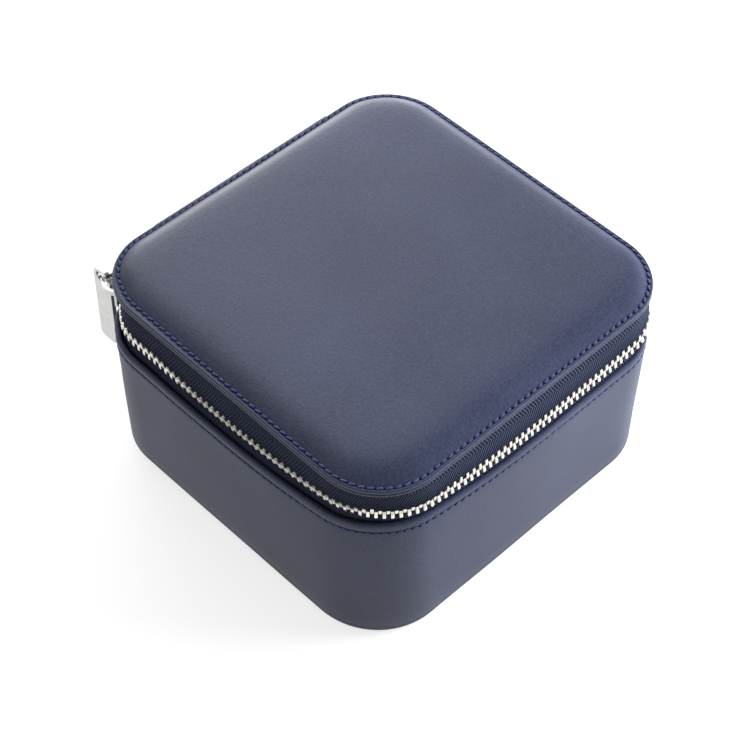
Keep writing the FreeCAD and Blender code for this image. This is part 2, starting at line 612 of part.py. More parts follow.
def build_slider_crown():
    """The arched strap on the slider's outer plate that carries the pull."""
    body = new_body("slider_crown")
    half, arch, strap = "dims.crown_span / 2", "dims.crown_arch", "dims.crown_strap"
    big = f"(({arch} * {arch} + {half} * {half}) / (2 * {arch}))"
    small = f"({big} - {strap})"
    level = size(PLATE_FACE)
    middle = FreeCAD.Vector(0, level + size(arch) - size(big), 0)
    drop = level - middle.y
    sketch = new_sketch(body, "crown_section", role="XZ_Plane")
    ends = []
    for expression in (big, small):
        radius = size(expression)
        start = math.asin(drop / radius)
        circle = Part.Circle(middle, FreeCAD.Vector(0, 0, 1), radius)
        ends.append(sketch.addGeometry(Part.ArcOfCircle(circle, start, math.pi - start)))
    outer, inner = ends
    right = sketch.addGeometry(Part.LineSegment(sketch.getPoint(outer, 1), sketch.getPoint(inner, 1)))
    left = sketch.addGeometry(Part.LineSegment(sketch.getPoint(outer, 2), sketch.getPoint(inner, 2)))
    for line, point in ((right, 1), (left, 2)):
        sketch.addConstraint(Sketcher.Constraint("Coincident", line, 1, outer, point))
        sketch.addConstraint(Sketcher.Constraint("Coincident", line, 2, inner, point))
        sketch.addConstraint(Sketcher.Constraint("Horizontal", line))
    sketch.addConstraint(Sketcher.Constraint("Coincident", outer, 3, inner, 3))
    sketch.addConstraint(Sketcher.Constraint("PointOnObject", outer, 3, -2))
    constrain(sketch, "right_foot", "DistanceY", -1, 1, right, 1, expression=PLATE_FACE)
    constrain(sketch, "left_foot", "DistanceY", -1, 1, left, 1, expression=PLATE_FACE)
    constrain(sketch, "outer_bow", "Radius", outer, expression=big)
    constrain(sketch, "inner_bow", "Radius", inner, expression=small)
    pad(body, sketch, "dims.crown_width", both_ways=True)
    return body


def build_pull_tab():
    """The flat pull that hangs from the crown by a long eye, thin along the chain.

    Own axes as the slider's, with the origin at the middle of the crown's strap.
    """
    body = new_body("pull_tab")
    bow = "(dims.tab_eye / 2 + dims.tab_eye_wall)"
    run = f"(dims.tab_width - 2 * {bow})"
    foot = f"(dims.tab_length - {bow})"
    plain = new_sketch(body, "pull_outline", role="YZ_Plane")
    long_hole(plain, "head", bow, run)
    pad(body, plain, "dims.tab_thickness", "head", both_ways=True)
    blade = new_sketch(body, "pull_blade", role="YZ_Plane")
    rectangle(blade, "blade", f"-{foot}", "0", f"-{bow}", f"{run} + {bow}")
    pad(body, blade, "dims.tab_thickness", "blade", both_ways=True)
    low = -size(foot)
    ease_edges(body, lambda edge: all(abs(v.Y - low) < 1e-4 for v in edge.Vertexes)
                and abs(edge.Vertexes[0].X - edge.Vertexes[-1].X) > 1e-3, "dims.tab_round", "corners")
    hole = new_sketch(body, "pull_eye", role="YZ_Plane")
    long_hole(hole, "eye", "dims.tab_eye / 2", run)
    pocket(body, hole, "2 * dims.tab_thickness", "eye", both_ways=True)
    return body


def long_hole(sketch, name, radius, run):
    """A closed loop of two half circles, the first about the sketch's origin, run apart along y."""
    r, shift = size(radius), size(run)
    arcs = []
    for middle, start in ((0, math.pi), (shift, 0)):
        circle = Part.Circle(FreeCAD.Vector(0, middle, 0), FreeCAD.Vector(0, 0, 1), r)
        arcs.append(sketch.addGeometry(Part.ArcOfCircle(circle, start, start + math.pi)))
    low, high = arcs
    right = sketch.addGeometry(Part.LineSegment(sketch.getPoint(low, 2), sketch.getPoint(high, 1)))
    left = sketch.addGeometry(Part.LineSegment(sketch.getPoint(high, 2), sketch.getPoint(low, 1)))
    sketch.addConstraint(Sketcher.Constraint("Tangent", low, 2, right, 1))
    sketch.addConstraint(Sketcher.Constraint("Tangent", right, 2, high, 1))
    sketch.addConstraint(Sketcher.Constraint("Tangent", high, 2, left, 1))
    sketch.addConstraint(Sketcher.Constraint("Tangent", left, 2, low, 1))
    sketch.addConstraint(Sketcher.Constraint("Vertical", right))
    sketch.addConstraint(Sketcher.Constraint("Coincident", low, 3, -1, 1))
    constrain(sketch, f"{name}_bow", "Radius", low, expression=radius)
    constrain(sketch, f"{name}_run", "DistanceY", low, 3, high, 3, expression=run)


def build_slider():
    """Slider, crown and pull at their place on the zip."""
    x, y, angle = path_place(slider_path())
    along = FreeCAD.Vector(-math.sin(angle), math.cos(angle), 0)
    outward = FreeCAD.Vector(math.cos(angle), math.sin(angle), 0)
    up = FreeCAD.Vector(0, 0, 1)
    turn = FreeCAD.Rotation(along, up, outward, "XYZ")
    chain = FreeCAD.Vector(x, y, size(CHAIN_LEVEL))
    pieces = (build_slider_body(), build_slider_crown())
    pull = build_pull_tab()
    doc.recompute()
    for body in pieces:
        body.Placement = FreeCAD.Placement(chain, turn)
    yaw = FreeCAD.Rotation(up, -size("dims.pull_yaw"))
    strap = chain + outward * size(STRAP_LEVEL)
    pull.Placement = FreeCAD.Placement(strap, yaw.multiply(turn))


PARTS = (
    "base_wall_leather", "base_bottom_leather", "base_wall_board", "base_floor_board",
    "base_wall_lining", "base_floor_lining", "base_rim_facing", "long_divider", "short_divider",
    "hinge_strip_lower", "hinge_gusset_lower", "zip_tape_lower", "zip_teeth_lower", "zip_stop_lower",
    "lid_leather", "lid_padding", "lid_board", "lid_welt", "lid_lining", "lid_rim_facing",
    "lid_pocket", "lid_pocket_elastic", "hinge_strip_upper", "hinge_gusset_upper", "zip_tape_upper",
    "zip_teeth_upper", "zip_stop_upper", "slider_body", "slider_crown", "pull_tab",
)


def write_parts():
    """Checks every object and writes one file for each piece."""
    doc.recompute()
    bad = [o.Label for o in doc.Objects if {"Invalid", "Error"} & set(o.State)]
    if bad:
        raise RuntimeError("objects in error: " + ", ".join(bad))
    rolls = tuple(f"ring_roll_{i + 1}" for i in range(int(size("dims.roll_count"))))
    os.makedirs("parts", exist_ok=True)
    for label in PARTS + rolls:
        piece = doc.getObjectsByLabel(label)[0]
        if piece.Shape.isNull() or not piece.Shape.isValid() or piece.Shape.Volume <= 0:
            raise RuntimeError(f"{label} is not a good solid")
        piece.Shape.exportStep(f"parts/{label}.step")


build_base()
build_inside()
build_lid()
build_zip()
build_hinge()
build_slider()
write_parts()
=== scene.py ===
"""Look of the square zip-round leather jewellery case, in metres and in the frame of its CAD parts."""
import functools
import json
import math

import bmesh
import bpy
import numpy as np
from mathutils import Matrix, Vector, noise


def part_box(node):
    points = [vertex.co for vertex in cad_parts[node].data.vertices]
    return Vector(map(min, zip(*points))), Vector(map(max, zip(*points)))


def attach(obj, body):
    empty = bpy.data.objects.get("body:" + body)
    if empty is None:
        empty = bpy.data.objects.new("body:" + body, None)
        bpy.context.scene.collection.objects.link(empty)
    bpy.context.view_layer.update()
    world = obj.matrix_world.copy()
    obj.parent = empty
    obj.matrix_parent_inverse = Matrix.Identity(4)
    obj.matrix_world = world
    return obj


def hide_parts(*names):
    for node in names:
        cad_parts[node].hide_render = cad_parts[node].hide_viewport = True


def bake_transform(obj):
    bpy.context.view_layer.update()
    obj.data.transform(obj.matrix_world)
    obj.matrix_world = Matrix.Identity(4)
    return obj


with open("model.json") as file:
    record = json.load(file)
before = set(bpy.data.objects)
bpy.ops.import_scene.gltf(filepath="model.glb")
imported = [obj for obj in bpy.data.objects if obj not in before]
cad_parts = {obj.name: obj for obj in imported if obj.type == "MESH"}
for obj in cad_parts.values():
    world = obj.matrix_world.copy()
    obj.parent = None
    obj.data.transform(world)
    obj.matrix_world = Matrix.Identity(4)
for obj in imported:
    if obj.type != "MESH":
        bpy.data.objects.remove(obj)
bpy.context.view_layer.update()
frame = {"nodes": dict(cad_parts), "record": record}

MM = 0.001


def node_box(name):
    """Lowest and highest corner of a CAD node in millimetres."""
    low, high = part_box(name)
    return [c / MM for c in low], [c / MM for c in high]


# Sizes that the pieces share, in millimetres, read from the CAD frame
HALF_X, HALF_Y, RIM = node_box("base_wall_leather")[1]
LID_LOW, LID_HIGH = node_box("lid_leather")
LID_INSET = HALF_X - LID_HIGH[0]
LID_MARGIN, LID_TOP = LID_LOW[2], LID_HIGH[2]
LID_FOOT = node_box("lid_welt")[0][2]
LID_WELL = HALF_X - node_box("lid_lining")[1][0]
TAPE_LOW, TAPE_HIGH = node_box("zip_tape_lower"), node_box("zip_tape_upper")
CHAIN = (TAPE_LOW[1][2] + TAPE_HIGH[0][2]) / 2
TAPE_FACE = HALF_X - TAPE_LOW[1][0]
TAPE_BACK = HALF_X - node_box("base_rim_facing")[1][0]
BOARD_FACE = HALF_X - node_box("base_wall_board")[1][0]
LINING_FACE = HALF_X - node_box("base_wall_lining")[1][0]
INNER_FACE = HALF_X - node_box("long_divider")[1][0]
HEM_FOOT = node_box("base_rim_facing")[0][2]
HINGE_HALF = node_box("hinge_strip_upper")[1][0]
STRIP_FOOT = node_box("hinge_strip_lower")[0][2]

# Corner radii: most corners, and the base's near front corner, which is drawn in
CORNER, BASE_FRONT = 18.0, 20.0

# Sampling of the rounded outline
ARC_STEPS = 18
SIDE_STEPS = 36

# Sewing and zip, from the photograph
STITCH_PITCH, STITCH_LENGTH, STITCH_WIDTH, STITCH_DEPTH = 2.2, 1.75, 0.78, 0.55
STITCH_SLANT = 14
HOLE_LENGTH, HOLE_WIDTH, HOLE_DEPTH = 0.5, 0.6, 0.16
LID_STITCH_INSET, BASE_STITCH_DROP = 1.55, 2.7
TOOTH_PITCH, TOOTH_BEVEL = 2.05, 0.16
SLIDER_HALF, CHAIN_END = 4.7, 12.0

# The leather: rounding of the base's foot, thickness at the lid's edge, and slow waves of the surface
FOOT_ROUND, LID_LEATHER = 2.6, 1.0
WAVE, WAVE_LENGTH, LID_WAVE_SEED = 0.16, 22, 7.0

# The near front corner of the base, where the closed zip pulls the rim in
NEAR_CORNER = np.array((-HALF_X, -HALF_Y)) + BASE_FRONT * (1 - math.sqrt(0.5))
NEAR_PULL, NEAR_REACH = 3.4, 24.0

# The base: swell of its sides, taper of the left side's foot, rise and lean of the rim at the back corners
WALL_SWELL = 0.45
FOOT_TAPER, FOOT_TAPER_TOP = 0.7, 24
RIM_RISE, RIM_RISE_FOOT, RIM_LEAN = 1.6, 28, 0.3

# The lid: hang of its front edge, growth of the margin on the left, ease of the near slopes, and the inset
# from which its padded field keeps to the outline
LID_DROOP, MARGIN_GROWTH, SLOPE_EASE, FLAT_FIELD = 1.2, 0.9, 1.6, 20

# Hang of the closed chain: its way out at the front, its drop on slack sides, its lift at the far front
# corner, and the tilt of its teeth in degrees
CHAIN_OUT, CHAIN_OUT_SLACK = 0.35, 0.75
CHAIN_DROP_FRONT, CHAIN_DROP_SIDES = 1.2, 1.6
FAR_CORNER_OUT, FAR_CORNER_RISE, FAR_CORNER_REACH = 0.8, 2.0, 20
TILT_FRONT, TILT_SIDES = 14, 20

# Small clearance that keeps neighbouring layers apart
CLEAR = 0.05

# Width of a pleat of the lid's pocket
PLEAT = 4.6


# Geometry helpers

def clamped(value):
    """A value held between 0 and 1."""
    return min(1.0, max(0.0, value))


@functools.lru_cache(maxsize=None)
def outline(inset, front=CORNER):
    """Points, outward directions and running lengths of the case's outline, moved in by inset.

    It starts where the left back corner begins and runs round the left side, the front and the right.
    """
    half = np.array((HALF_X, HALF_Y)) - inset
    corners = ((-1, 1, CORNER), (-1, -1, front), (1, -1, CORNER), (1, 1, CORNER))
    points, normals = [], []
    for index, (sx, sy, full) in enumerate(corners):
        radius = max(full - inset, 0.4)
        middle = (half - radius) * (sx, sy)
        for step in range(ARC_STEPS + 1):
            angle = math.pi / 2 * (index + 1 + step / ARC_STEPS)
            normal = np.array((math.cos(angle), math.sin(angle)))
            points.append(middle + radius * normal)
            normals.append(normal)
        nx, ny, next_full = corners[(index + 1) % 4]
        next_radius = max(next_full - inset, 0.4)
        begin, end = points[-1], (half - next_radius) * (nx, ny) + next_radius * normals[-1]
        for step in range(1, SIDE_STEPS):
            points.append(begin + (end - begin) * step / SIDE_STEPS)
            normals.append(normals[-1])
    points, normals = np.array(points), np.array(normals)
    steps = np.linalg.norm(np.roll(points, -1, axis=0) - points, axis=1)
    return points, normals, np.concatenate(([0], np.cumsum(steps)))


def slack(point, normal):
    """1 at the middle of a side and 0 at its ends."""
    along = point[0] / HALF_X if abs(normal[1]) > abs(normal[0]) else point[1] / HALF_Y
    return math.cos(clamped(abs(along) * 0.97) * math.pi / 2) ** 0.5


def draw_in(point, normal, height):
    """How far the base's wall and the zip lie inside their outline at a height, in millimetres."""
    if height <= RIM:
        rise = (max(height, 0.0) / RIM) ** 1.3
    else:
        rise = max(0.0, 1 - (height - RIM) / (LID_FOOT - RIM))
    near = math.exp(-(np.linalg.norm(point - NEAR_CORNER) / NEAR_REACH) ** 2)
    swell = WALL_SWELL * slack(point, normal) if normal[1] < 0.5 else 0.0
    taper = FOOT_TAPER * max(0.0, -normal[0]) * max(0.0, 1 - max(height, 0.0) / FOOT_TAPER_TOP) ** 1.5
    return rise * (NEAR_PULL * near - swell) + taper


def rim_rise(point, normal, height):
    """How far the base's leather climbs towards the hinge at the back corners."""
    share = clamped((height - RIM_RISE_FOOT) / (RIM - RIM_RISE_FOOT)) ** 2
    begin = math.exp(-(max(0.0, HALF_Y - CORNER - point[1]) / 12) ** 2)
    turn = math.degrees(math.atan2(max(0.0, normal[1]), abs(normal[0])))
    fall = clamped((80 - turn) / 25)
    return RIM_RISE * share * begin * fall * (0.55 + 0.45 * min(1.0, turn / 25))


def droop(y):
    """How far the closed lid hangs at a place between its back, 0, and its front."""
    return LID_DROOP * clamped((HALF_Y - y) / (2 * HALF_Y))


def margin_growth(point, normal):
    """How much wider the lid's sewn margin is at a place than at its front."""
    left = clamped(0.5 - normal[0]) * clamped((0.9 - normal[1]) / 0.5)
    return MARGIN_GROWTH * left * clamped((point[1] + 30) / 70)


def skin_shift(point, normal, inset):
    """How far the lid's skin lies inside its outline: its wider margin and its gentler near slopes."""
    near_row = clamped((inset - 0.9) / 0.5) * clamped((FLAT_FIELD - inset) / 12)
    on_slope = clamped((inset - 2.0) / 2.5) * clamped((FLAT_FIELD - inset) / 10)
    gentle = SLOPE_EASE * clamped(-(normal[0] + normal[1]) / 1.2) * on_slope
    return margin_growth(point, normal) * near_row + gentle


def loop_at(inset, height, shape):
    """Points and outward directions of the outline at a height, for the base, the zip or the lid."""
    if shape == "lid":
        return outline(inset)[:2]
    if shape == "lid_skin":
        points, normals, _ = outline(inset)
        moved = [p - n * skin_shift(p, n, inset) for p, n in zip(points, normals)]
    else:
        points, normals, _ = outline(inset, BASE_FRONT)
        moved = [p - n * draw_in(p, n, height) for p, n in zip(points, normals)]
    return np.array(moved), normals


def new_object(name, verts, faces, material, uvs=None):
    """A mesh object from points in millimetres, with one texture coordinate per face corner."""
    mesh = bpy.data.meshes.new(name)
    mesh.from_pydata([tuple(c * MM for c in v) for v in verts], [], faces)
    if uvs is not None:
        layer = mesh.uv_layers.new(name="UVMap")
        layer.data.foreach_set("uv", np.array(uvs, float).ravel())
    mesh.materials.append(material)
    mesh.polygons.foreach_set("use_smooth", [True] * len(mesh.polygons))
    obj = bpy.data.objects.new(name, mesh)
    bpy.context.scene.collection.objects.link(obj)
    return obj


def finish_piece(obj, body, slot, *nodes):
    """Ties a piece to its body and hides the CAD nodes that it stands for; its material slot is not used."""
    if nodes:
        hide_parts(*nodes)
    if body:
        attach(obj, body)
    return obj


def loft(name, profile, material, shape, wobble=0.0, caps=(False, False), seed=0.0, closed=False):
    """A skin over a profile of (inset, height) pairs, swept round the case's outline.

    The texture coordinates are millimetres along the outline and along the profile.
    """
    verts, faces, uvs = [], [], []
    count = len(outline(0.0)[0])
    along = outline(0.0)[2]
    run = [0.0]
    for (i0, z0), (i1, z1) in zip(profile, profile[1:]):
        run.append(run[-1] + math.hypot(i1 - i0, z1 - z0))
    for inset, height in profile:
        for point, normal in zip(*loop_at(inset, height, shape)):
            spot = Vector((point[0], point[1], height))
            shift = wobble * noise.noise(spot / WAVE_LENGTH + Vector((seed, 0, 0))) if wobble else 0
            rise = 0.5 * shift
            if shape == "base":
                climb = rim_rise(point, normal, height)
                rise += climb
                shift += RIM_LEAN * climb
            elif shape != "zip":
                rise -= droop(point[1])
            x, y = point + normal * shift
            verts.append((x, y, height + rise))
    rows = len(profile)
    for r in range(rows if closed else rows - 1):
        r2 = (r + 1) % rows
        v0 = run[r]
        v1 = run[r2] if r2 else run[r] + 1
        for c in range(count):
            c2 = (c + 1) % count
            faces.append((r * count + c, r * count + c2, r2 * count + c2, r2 * count + c))
            uvs += [(along[c], v0), (along[c + 1], v0), (along[c + 1], v1), (along[c], v1)]
    for wanted, base, order in zip(caps, (0, (rows - 1) * count), (-1, 1)):
        if wanted:
            ring = [base + c for c in range(count)][::order]
            faces.append(tuple(ring))
            uvs += [verts[i][:2] for i in ring]
    return new_object(name, verts, faces, material, uvs)


def softened(corners, cut=0.2):
    """A closed profile with each corner cut off by a short length."""
    corners = np.array(corners, float)
    profile = []
    for before, corner, after in zip(np.roll(corners, 1, axis=0), corners, np.roll(corners, -1, axis=0)):
        for other in (before, after):
            way = other - corner
            profile.append(tuple(corner + way * min(cut / np.linalg.norm(way), 0.45)))
    return profile


def plate(name, inset, low, high, material, shape):
    """A thin closed plate with rounded edges."""
    edge = min(0.35, (high - low) / 2)
    rows = (50, 36, 20, inset + 6)
    profile = [(row, low) for row in rows]
    profile += [(inset + edge, low), (inset, low + edge), (inset, high - edge), (inset + edge, high)]
    profile += [(row, high) for row in reversed(rows)]
    return loft(name, profile, material, shape, caps=(True, True))


def wall_band(name, node, outer, inner, material, slot):
    """A closed band inside the base's wall, in the heights of its CAD node."""
    low, high = node_box(node)
    ring = [(outer, low[2]), (outer, high[2]), (inner, high[2]), (inner, low[2])]
    piece = loft(name, softened(ring), material, "zip", closed=True)
    finish_piece(piece, "base", slot, node)


def tube_faces(stations, size):
    """Faces of a tube: quads between its rings of points, and one face at each end."""
    faces = []
    for s in range(stations - 1):
        for k in range(size):
            k2 = (k + 1) % size
            faces.append((s * size + k, s * size + k2, (s + 1) * size + k2, (s + 1) * size + k))
    last = (stations - 1) * size
    return faces + [tuple(range(size))[::-1], tuple(last + k for k in range(size))]


def band(name, route, half, thickness, material, steps=40):
    """A strip across the back, half wide each way: a route of (y, z) points and a thickness at each."""
    route = np.array(route, float)
    thickness = np.broadcast_to(np.array(thickness, float), len(route))[:, None]
    ahead = np.gradient(route, axis=0)
    ahead /= np.linalg.norm(ahead, axis=1)[:, None]
    inward = np.c_[-ahead[:, 1], ahead[:, 0]]
    ring = np.r_[route, (route + inward * thickness)[::-1]]
    runs = np.r_[np.arange(len(route)), np.arange(len(route))[::-1]] * np.linalg.norm(route[1] - route[0])
    verts, uvs = [], []
    xs = np.linspace(-half, half, steps + 1)
    for x in xs:
        verts += [(x, y, z) for y, z in ring]
    size = len(ring)
    for s in range(steps):
        for k in range(size):
            k2 = (k + 1) % size
            uvs += [(xs[s], runs[k]), (xs[s], runs[k2]), (xs[s + 1], runs[k2]), (xs[s + 1], runs[k])]
    uvs += [(0.0, 0.0)] * (2 * size)
    return new_object(name, verts, tube_faces(steps + 1, size), material, uvs)


def path_at(distance, inset, front=CORNER):
    """Point, outward direction and forward direction on the outline, by distance from its start."""
    points, normals, lengths = outline(inset, front)
    distance %= lengths[-1]
    index = min(int(np.searchsorted(lengths, distance, side="right")) - 1, len(points) - 1)
    share = (distance - lengths[index]) / (lengths[index + 1] - lengths[index])
    after = (index + 1) % len(points)
    point = points[index] * (1 - share) + points[after] * share
    normal = normals[index] * (1 - share) + normals[after] * share
    normal = normal / np.linalg.norm(normal)
    return point, normal, np.array((-normal[1], normal[0]))


def scatter(name, template, places, material):
    """One mesh of many copies of a template (points in mm, faces), each placed by a 4x4 matrix."""
    points, shape = template
    local = np.c_[np.array(points, float), np.ones(len(points))]
    verts, faces = [], []
    for matrix in places:
        start = len(verts)
        verts += [tuple(v[:3]) for v in local @ np.array(matrix).T]
        faces += [tuple(start + i for i in face) for face in shape]
    return new_object(name, verts, faces, material)


def placed(point, height, along, outward, up=(0, 0, 1)):
    """A matrix that sends x along the path, y outward and z up."""
    matrix = Matrix.Identity(4)
    for axis, direction in enumerate(((along[0], along[1], 0), (outward[0], outward[1], 0), up)):
        for row in range(3):
            matrix[row][axis] = direction[row]
    matrix.translation = (point[0], point[1], height)
    return matrix


def bead(length, width, depth, rings=8, sides=8):
    """A rounded grain, long in x: one sewn stitch."""
    points, faces = [(-length / 2, 0, 0)], []
    for ring in range(1, rings):
        angle = math.pi * ring / rings
        reach = math.sin(angle) ** 0.55
        for side in range(sides):
            turn = 2 * math.pi * side / sides
            points.append((-math.cos(angle) * length / 2, math.cos(turn) * depth / 2 * reach,
                           math.sin(turn) * width / 2 * reach))
    points.append((length / 2, 0, 0))
    for side in range(sides):
        after = (side + 1) % sides
        faces.append((0, 1 + after, 1 + side))
        for ring in range(rings - 2):
            a, b = 1 + ring * sides, 1 + (ring + 1) * sides
            faces.append((a + side, a + after, b + after, b + side))
        last = 1 + (rings - 2) * sides
        faces.append((last + side, last + after, len(points) - 1))
    return points, faces


# Materials

class Nodes:
    """A material's node tree, with short calls to add and join nodes."""

    def __init__(self, name):
        self.material = bpy.data.materials.new(name)
        self.material.use_nodes = True
        self.tree = self.material.node_tree
        self.shader = self.tree.nodes["Principled BSDF"]

    def add(self, kind, values=None, **settings):
        """A node with its settings, its inputs set from values: a number, a colour or another socket."""
        node = self.tree.nodes.new(kind)
        for key, value in settings.items():
            setattr(node, key, value)
        for key, value in (values or {}).items():
            self.set(node.inputs[key], value)
        return node

    def set(self, socket, value):
        """Joins a socket to an output, or sets its value."""
        if isinstance(value, bpy.types.NodeSocket):
            self.tree.links.new(value, socket)
        else:
            socket.default_value = value

    def base(self, **values):
        """Sets inputs of the shader, underscores standing for spaces."""
        for key, value in values.items():
            self.set(self.shader.inputs[key.replace("_", " ")], value)

    def math(self, operation, a, b=0.0):
        return self.add("ShaderNodeMath", {0: a, 1: b}, operation=operation).outputs[0]

    def place(self, uv=False):
        """Object or texture coordinates."""
        return self.add("ShaderNodeTexCoord").outputs["UV" if uv else "Object"]

    def noise(self, vector, scale, detail=3.0, rough=0.5):
        node = self.add("ShaderNodeTexNoise", {"Vector": vector, "Scale": scale, "Detail": detail,
                                               "Roughness": rough})
        return node.outputs["Fac"]

    def cells(self, vector, scale, smooth=0.6):
        node = self.add("ShaderNodeTexVoronoi", {"Vector": vector, "Scale": scale, "Smoothness": smooth},
                        feature="SMOOTH_F1")
        return node.outputs["Distance"]

    def ramp(self, value, *stops):
        """A colour ramp over (position, colour) stops."""
        node = self.add("ShaderNodeValToRGB", {"Fac": value})
        band_of_colour = node.color_ramp
        while len(band_of_colour.elements) < len(stops):
            band_of_colour.elements.new(0.5)
        for element, (position, colour) in zip(band_of_colour.elements, stops):
            element.position = position
            element.color = (*colour, 1)
        return node.outputs["Color"]

    def spread(self, value, low, high, to_low, to_high):
        """A value's range mapped to another, clamped."""
        node = self.add("ShaderNodeMapRange", {"Value": value, "From Min": low, "From Max": high,
                                               "To Min": to_low, "To Max": to_high})
        return node.outputs["Result"]

    def bump(self, height, distance, strength=1.0, under=None):
        values = {"Height": height, "Distance": distance, "Strength": strength}
        if under is not None:
            values["Normal"] = under
        return self.add("ShaderNodeBump", values).outputs["Normal"]


def leather(name, dark, light, rough=(0.44, 0.54), grain=1.0, gloss=0.4):
    """Smooth full-grain leather: fine pebble, pores, soft creases and slow changes of tone."""
    n = Nodes(name)
    spot = n.place()
    cloud = n.noise(spot, 26.0, 2.0, 0.5)
    mottle = n.noise(spot, 1500.0, 3.0, 0.7)
    tone = n.math("ADD", n.math("MULTIPLY", cloud, 0.35), n.math("MULTIPLY", mottle, 0.65))
    n.base(Base_Color=n.ramp(tone, (0.36, dark), (0.64, light)))
    pebble = n.cells(spot, 1350.0)
    pores = n.noise(spot, 3600.0, 2.0)
    crease = n.noise(spot, 190.0, 4.0, 0.6)
    n.base(Roughness=n.spread(mottle, 0.3, 0.7, *rough))
    normal = n.bump(crease, 0.00006 * grain, 0.2)
    normal = n.bump(pebble, 0.00008 * grain, 0.35, normal)
    normal = n.bump(pores, 0.00005 * grain, 0.4, normal)
    n.base(Normal=normal, Specular_IOR_Level=gloss)
    return n.material


def suede(name, dark, light, sheen=0.25):
    """Short-napped suede lining, brushed in patches."""
    n = Nodes(name)
    spot = n.place()
    nap = n.noise(spot, 2600.0, 2.0, 0.7)
    brush = n.noise(spot, 60.0, 4.0, 0.6)
    tone = n.math("ADD", n.math("MULTIPLY", nap, 0.45), n.math("MULTIPLY", brush, 0.55))
    n.base(Base_Color=n.ramp(tone, (0.35, dark), (0.66, light)), Roughness=0.95, Specular_IOR_Level=0.12)
    n.base(Sheen_Weight=sheen, Sheen_Roughness=0.45, Normal=n.bump(nap, 0.0001, 0.6))
    return n.material


def herringbone(name, dark, light, rib=0.95, lean=0.65):
    """Woven zip tape: slanted ribs that turn at the tape's middle line, in millimetres, with painted shade
    that darkens it towards both long edges.
    """
    n = Nodes(name)
    axes = n.add("ShaderNodeSeparateXYZ", {"Vector": n.place(uv=True)})
    off_middle = n.math("ABSOLUTE", axes.outputs["Y"])
    fold = n.math("MULTIPLY", off_middle, lean)
    phase = n.math("MULTIPLY", n.math("ADD", axes.outputs["X"], fold), 2 * math.pi / rib)
    ribs = n.spread(n.math("SINE", phase), -1.0, 1.0, 0.0, 1.0)
    spot = n.place()
    fuzz = n.noise(spot, 3000.0, 2.0, 0.6)
    worn = n.noise(spot, 90.0, 3.0)
    tone = n.math("ADD", n.math("MULTIPLY", ribs, 0.7), n.math("MULTIPLY", n.math("ADD", fuzz, worn), 0.15))
    # Painted shade: the tone falls to 0.45 towards both long edges of the tape, as if shaded under the lid's
    # edge and behind the base's rim
    tone = n.math("MULTIPLY", tone, n.spread(off_middle, 1.5, 4.8, 1.0, 0.45))
    n.base(Base_Color=n.ramp(tone, (0.15, dark), (0.8, light)), Roughness=0.85, Specular_IOR_Level=0.1)
    n.base(Normal=n.bump(fuzz, 0.00006, 0.5, n.bump(ribs, 0.00025, 0.8)))
    return n.material


def metal(name, dark, light, rough, marks_depth=0.00001):
    """Plated metal with faint handling haze and fine marks."""
    n = Nodes(name)
    spot = n.place()
    haze = n.noise(spot, 500.0, 4.0, 0.6)
    marks = n.noise(spot, 2600.0, 3.0, 0.7)
    n.base(Base_Color=n.ramp(haze, (0.3, dark), (0.7, light)), Metallic=1.0)
    n.base(Roughness=n.spread(haze, 0.3, 0.7, *rough), Normal=n.bump(marks, marks_depth, 0.5))
    return n.material


def thread(name, dark, light):
    """Twisted sewing thread."""
    n = Nodes(name)
    ply = n.noise(n.place(), 2200.0, 2.0, 0.6)
    n.base(Base_Color=n.ramp(ply, (0.3, dark), (0.7, light)), Roughness=0.6, Specular_IOR_Level=0.3)
    n.base(Normal=n.bump(ply, 0.00012, 0.7))
    return n.material


def fibrous(name, dark, light, scale=800.0):
    """Pressed board or foam, by its fibre scale."""
    n = Nodes(name)
    fibre = n.noise(n.place(), scale, 5.0, 0.7)
    n.base(Base_Color=n.ramp(fibre, (0.3, dark), (0.7, light)), Roughness=0.9)
    n.base(Normal=n.bump(fibre, 0.00008, 0.5))
    return n.material


NAVY = leather("navy_leather", (0.025, 0.030, 0.063), (0.055, 0.065, 0.123))
# Painted shade: the lid's copy of the leather is darker and bluer than the walls', to offset the light that
# falls on the lid's top
NAVY_LID_SHADED = leather("navy_lid_shaded", (0.022, 0.0275, 0.061), (0.049, 0.0585, 0.117), rough=(0.38, 0.48),
                   gloss=0.46)
NAVY_EDGE = leather("navy_edge", (0.028, 0.035, 0.072), (0.056, 0.066, 0.124), rough=(0.42, 0.55),
                    grain=1.4)
LINING = suede("navy_suede", (0.020, 0.024, 0.046), (0.040, 0.047, 0.080))
ROLL_SUEDE = suede("roll_suede", (0.024, 0.029, 0.054), (0.047, 0.055, 0.092))
POCKET_CLOTH = suede("pocket_cloth", (0.022, 0.027, 0.052), (0.040, 0.047, 0.084), sheen=0.1)
TAPE = herringbone("zip_tape", (0.010, 0.013, 0.028), (0.058, 0.069, 0.120))
TEETH = metal("zip_teeth_metal", (0.66, 0.63, 0.57), (0.86, 0.84, 0.79), (0.22, 0.36))
NICKEL = metal("polished_nickel", (0.51, 0.505, 0.50), (0.57, 0.565, 0.555), (0.16, 0.24), 0.000004)
THREAD = thread("blue_thread", (0.032, 0.044, 0.125), (0.072, 0.092, 0.225))
# Painted shade: near-black, dull beads laid on the leather at the needle holes stand in for the shade in the
# holes' recesses
HOLE_SHADE = suede("needle_hole_shade", (0.003, 0.003, 0.006), (0.006, 0.006, 0.012), sheen=0.0)
BOARD = fibrous("grey_board", (0.20, 0.18, 0.15), (0.32, 0.29, 0.25))
FOAM = fibrous("pale_foam", (0.48, 0.45, 0.38), (0.60, 0.57, 0.50), scale=1500.0)


# Base

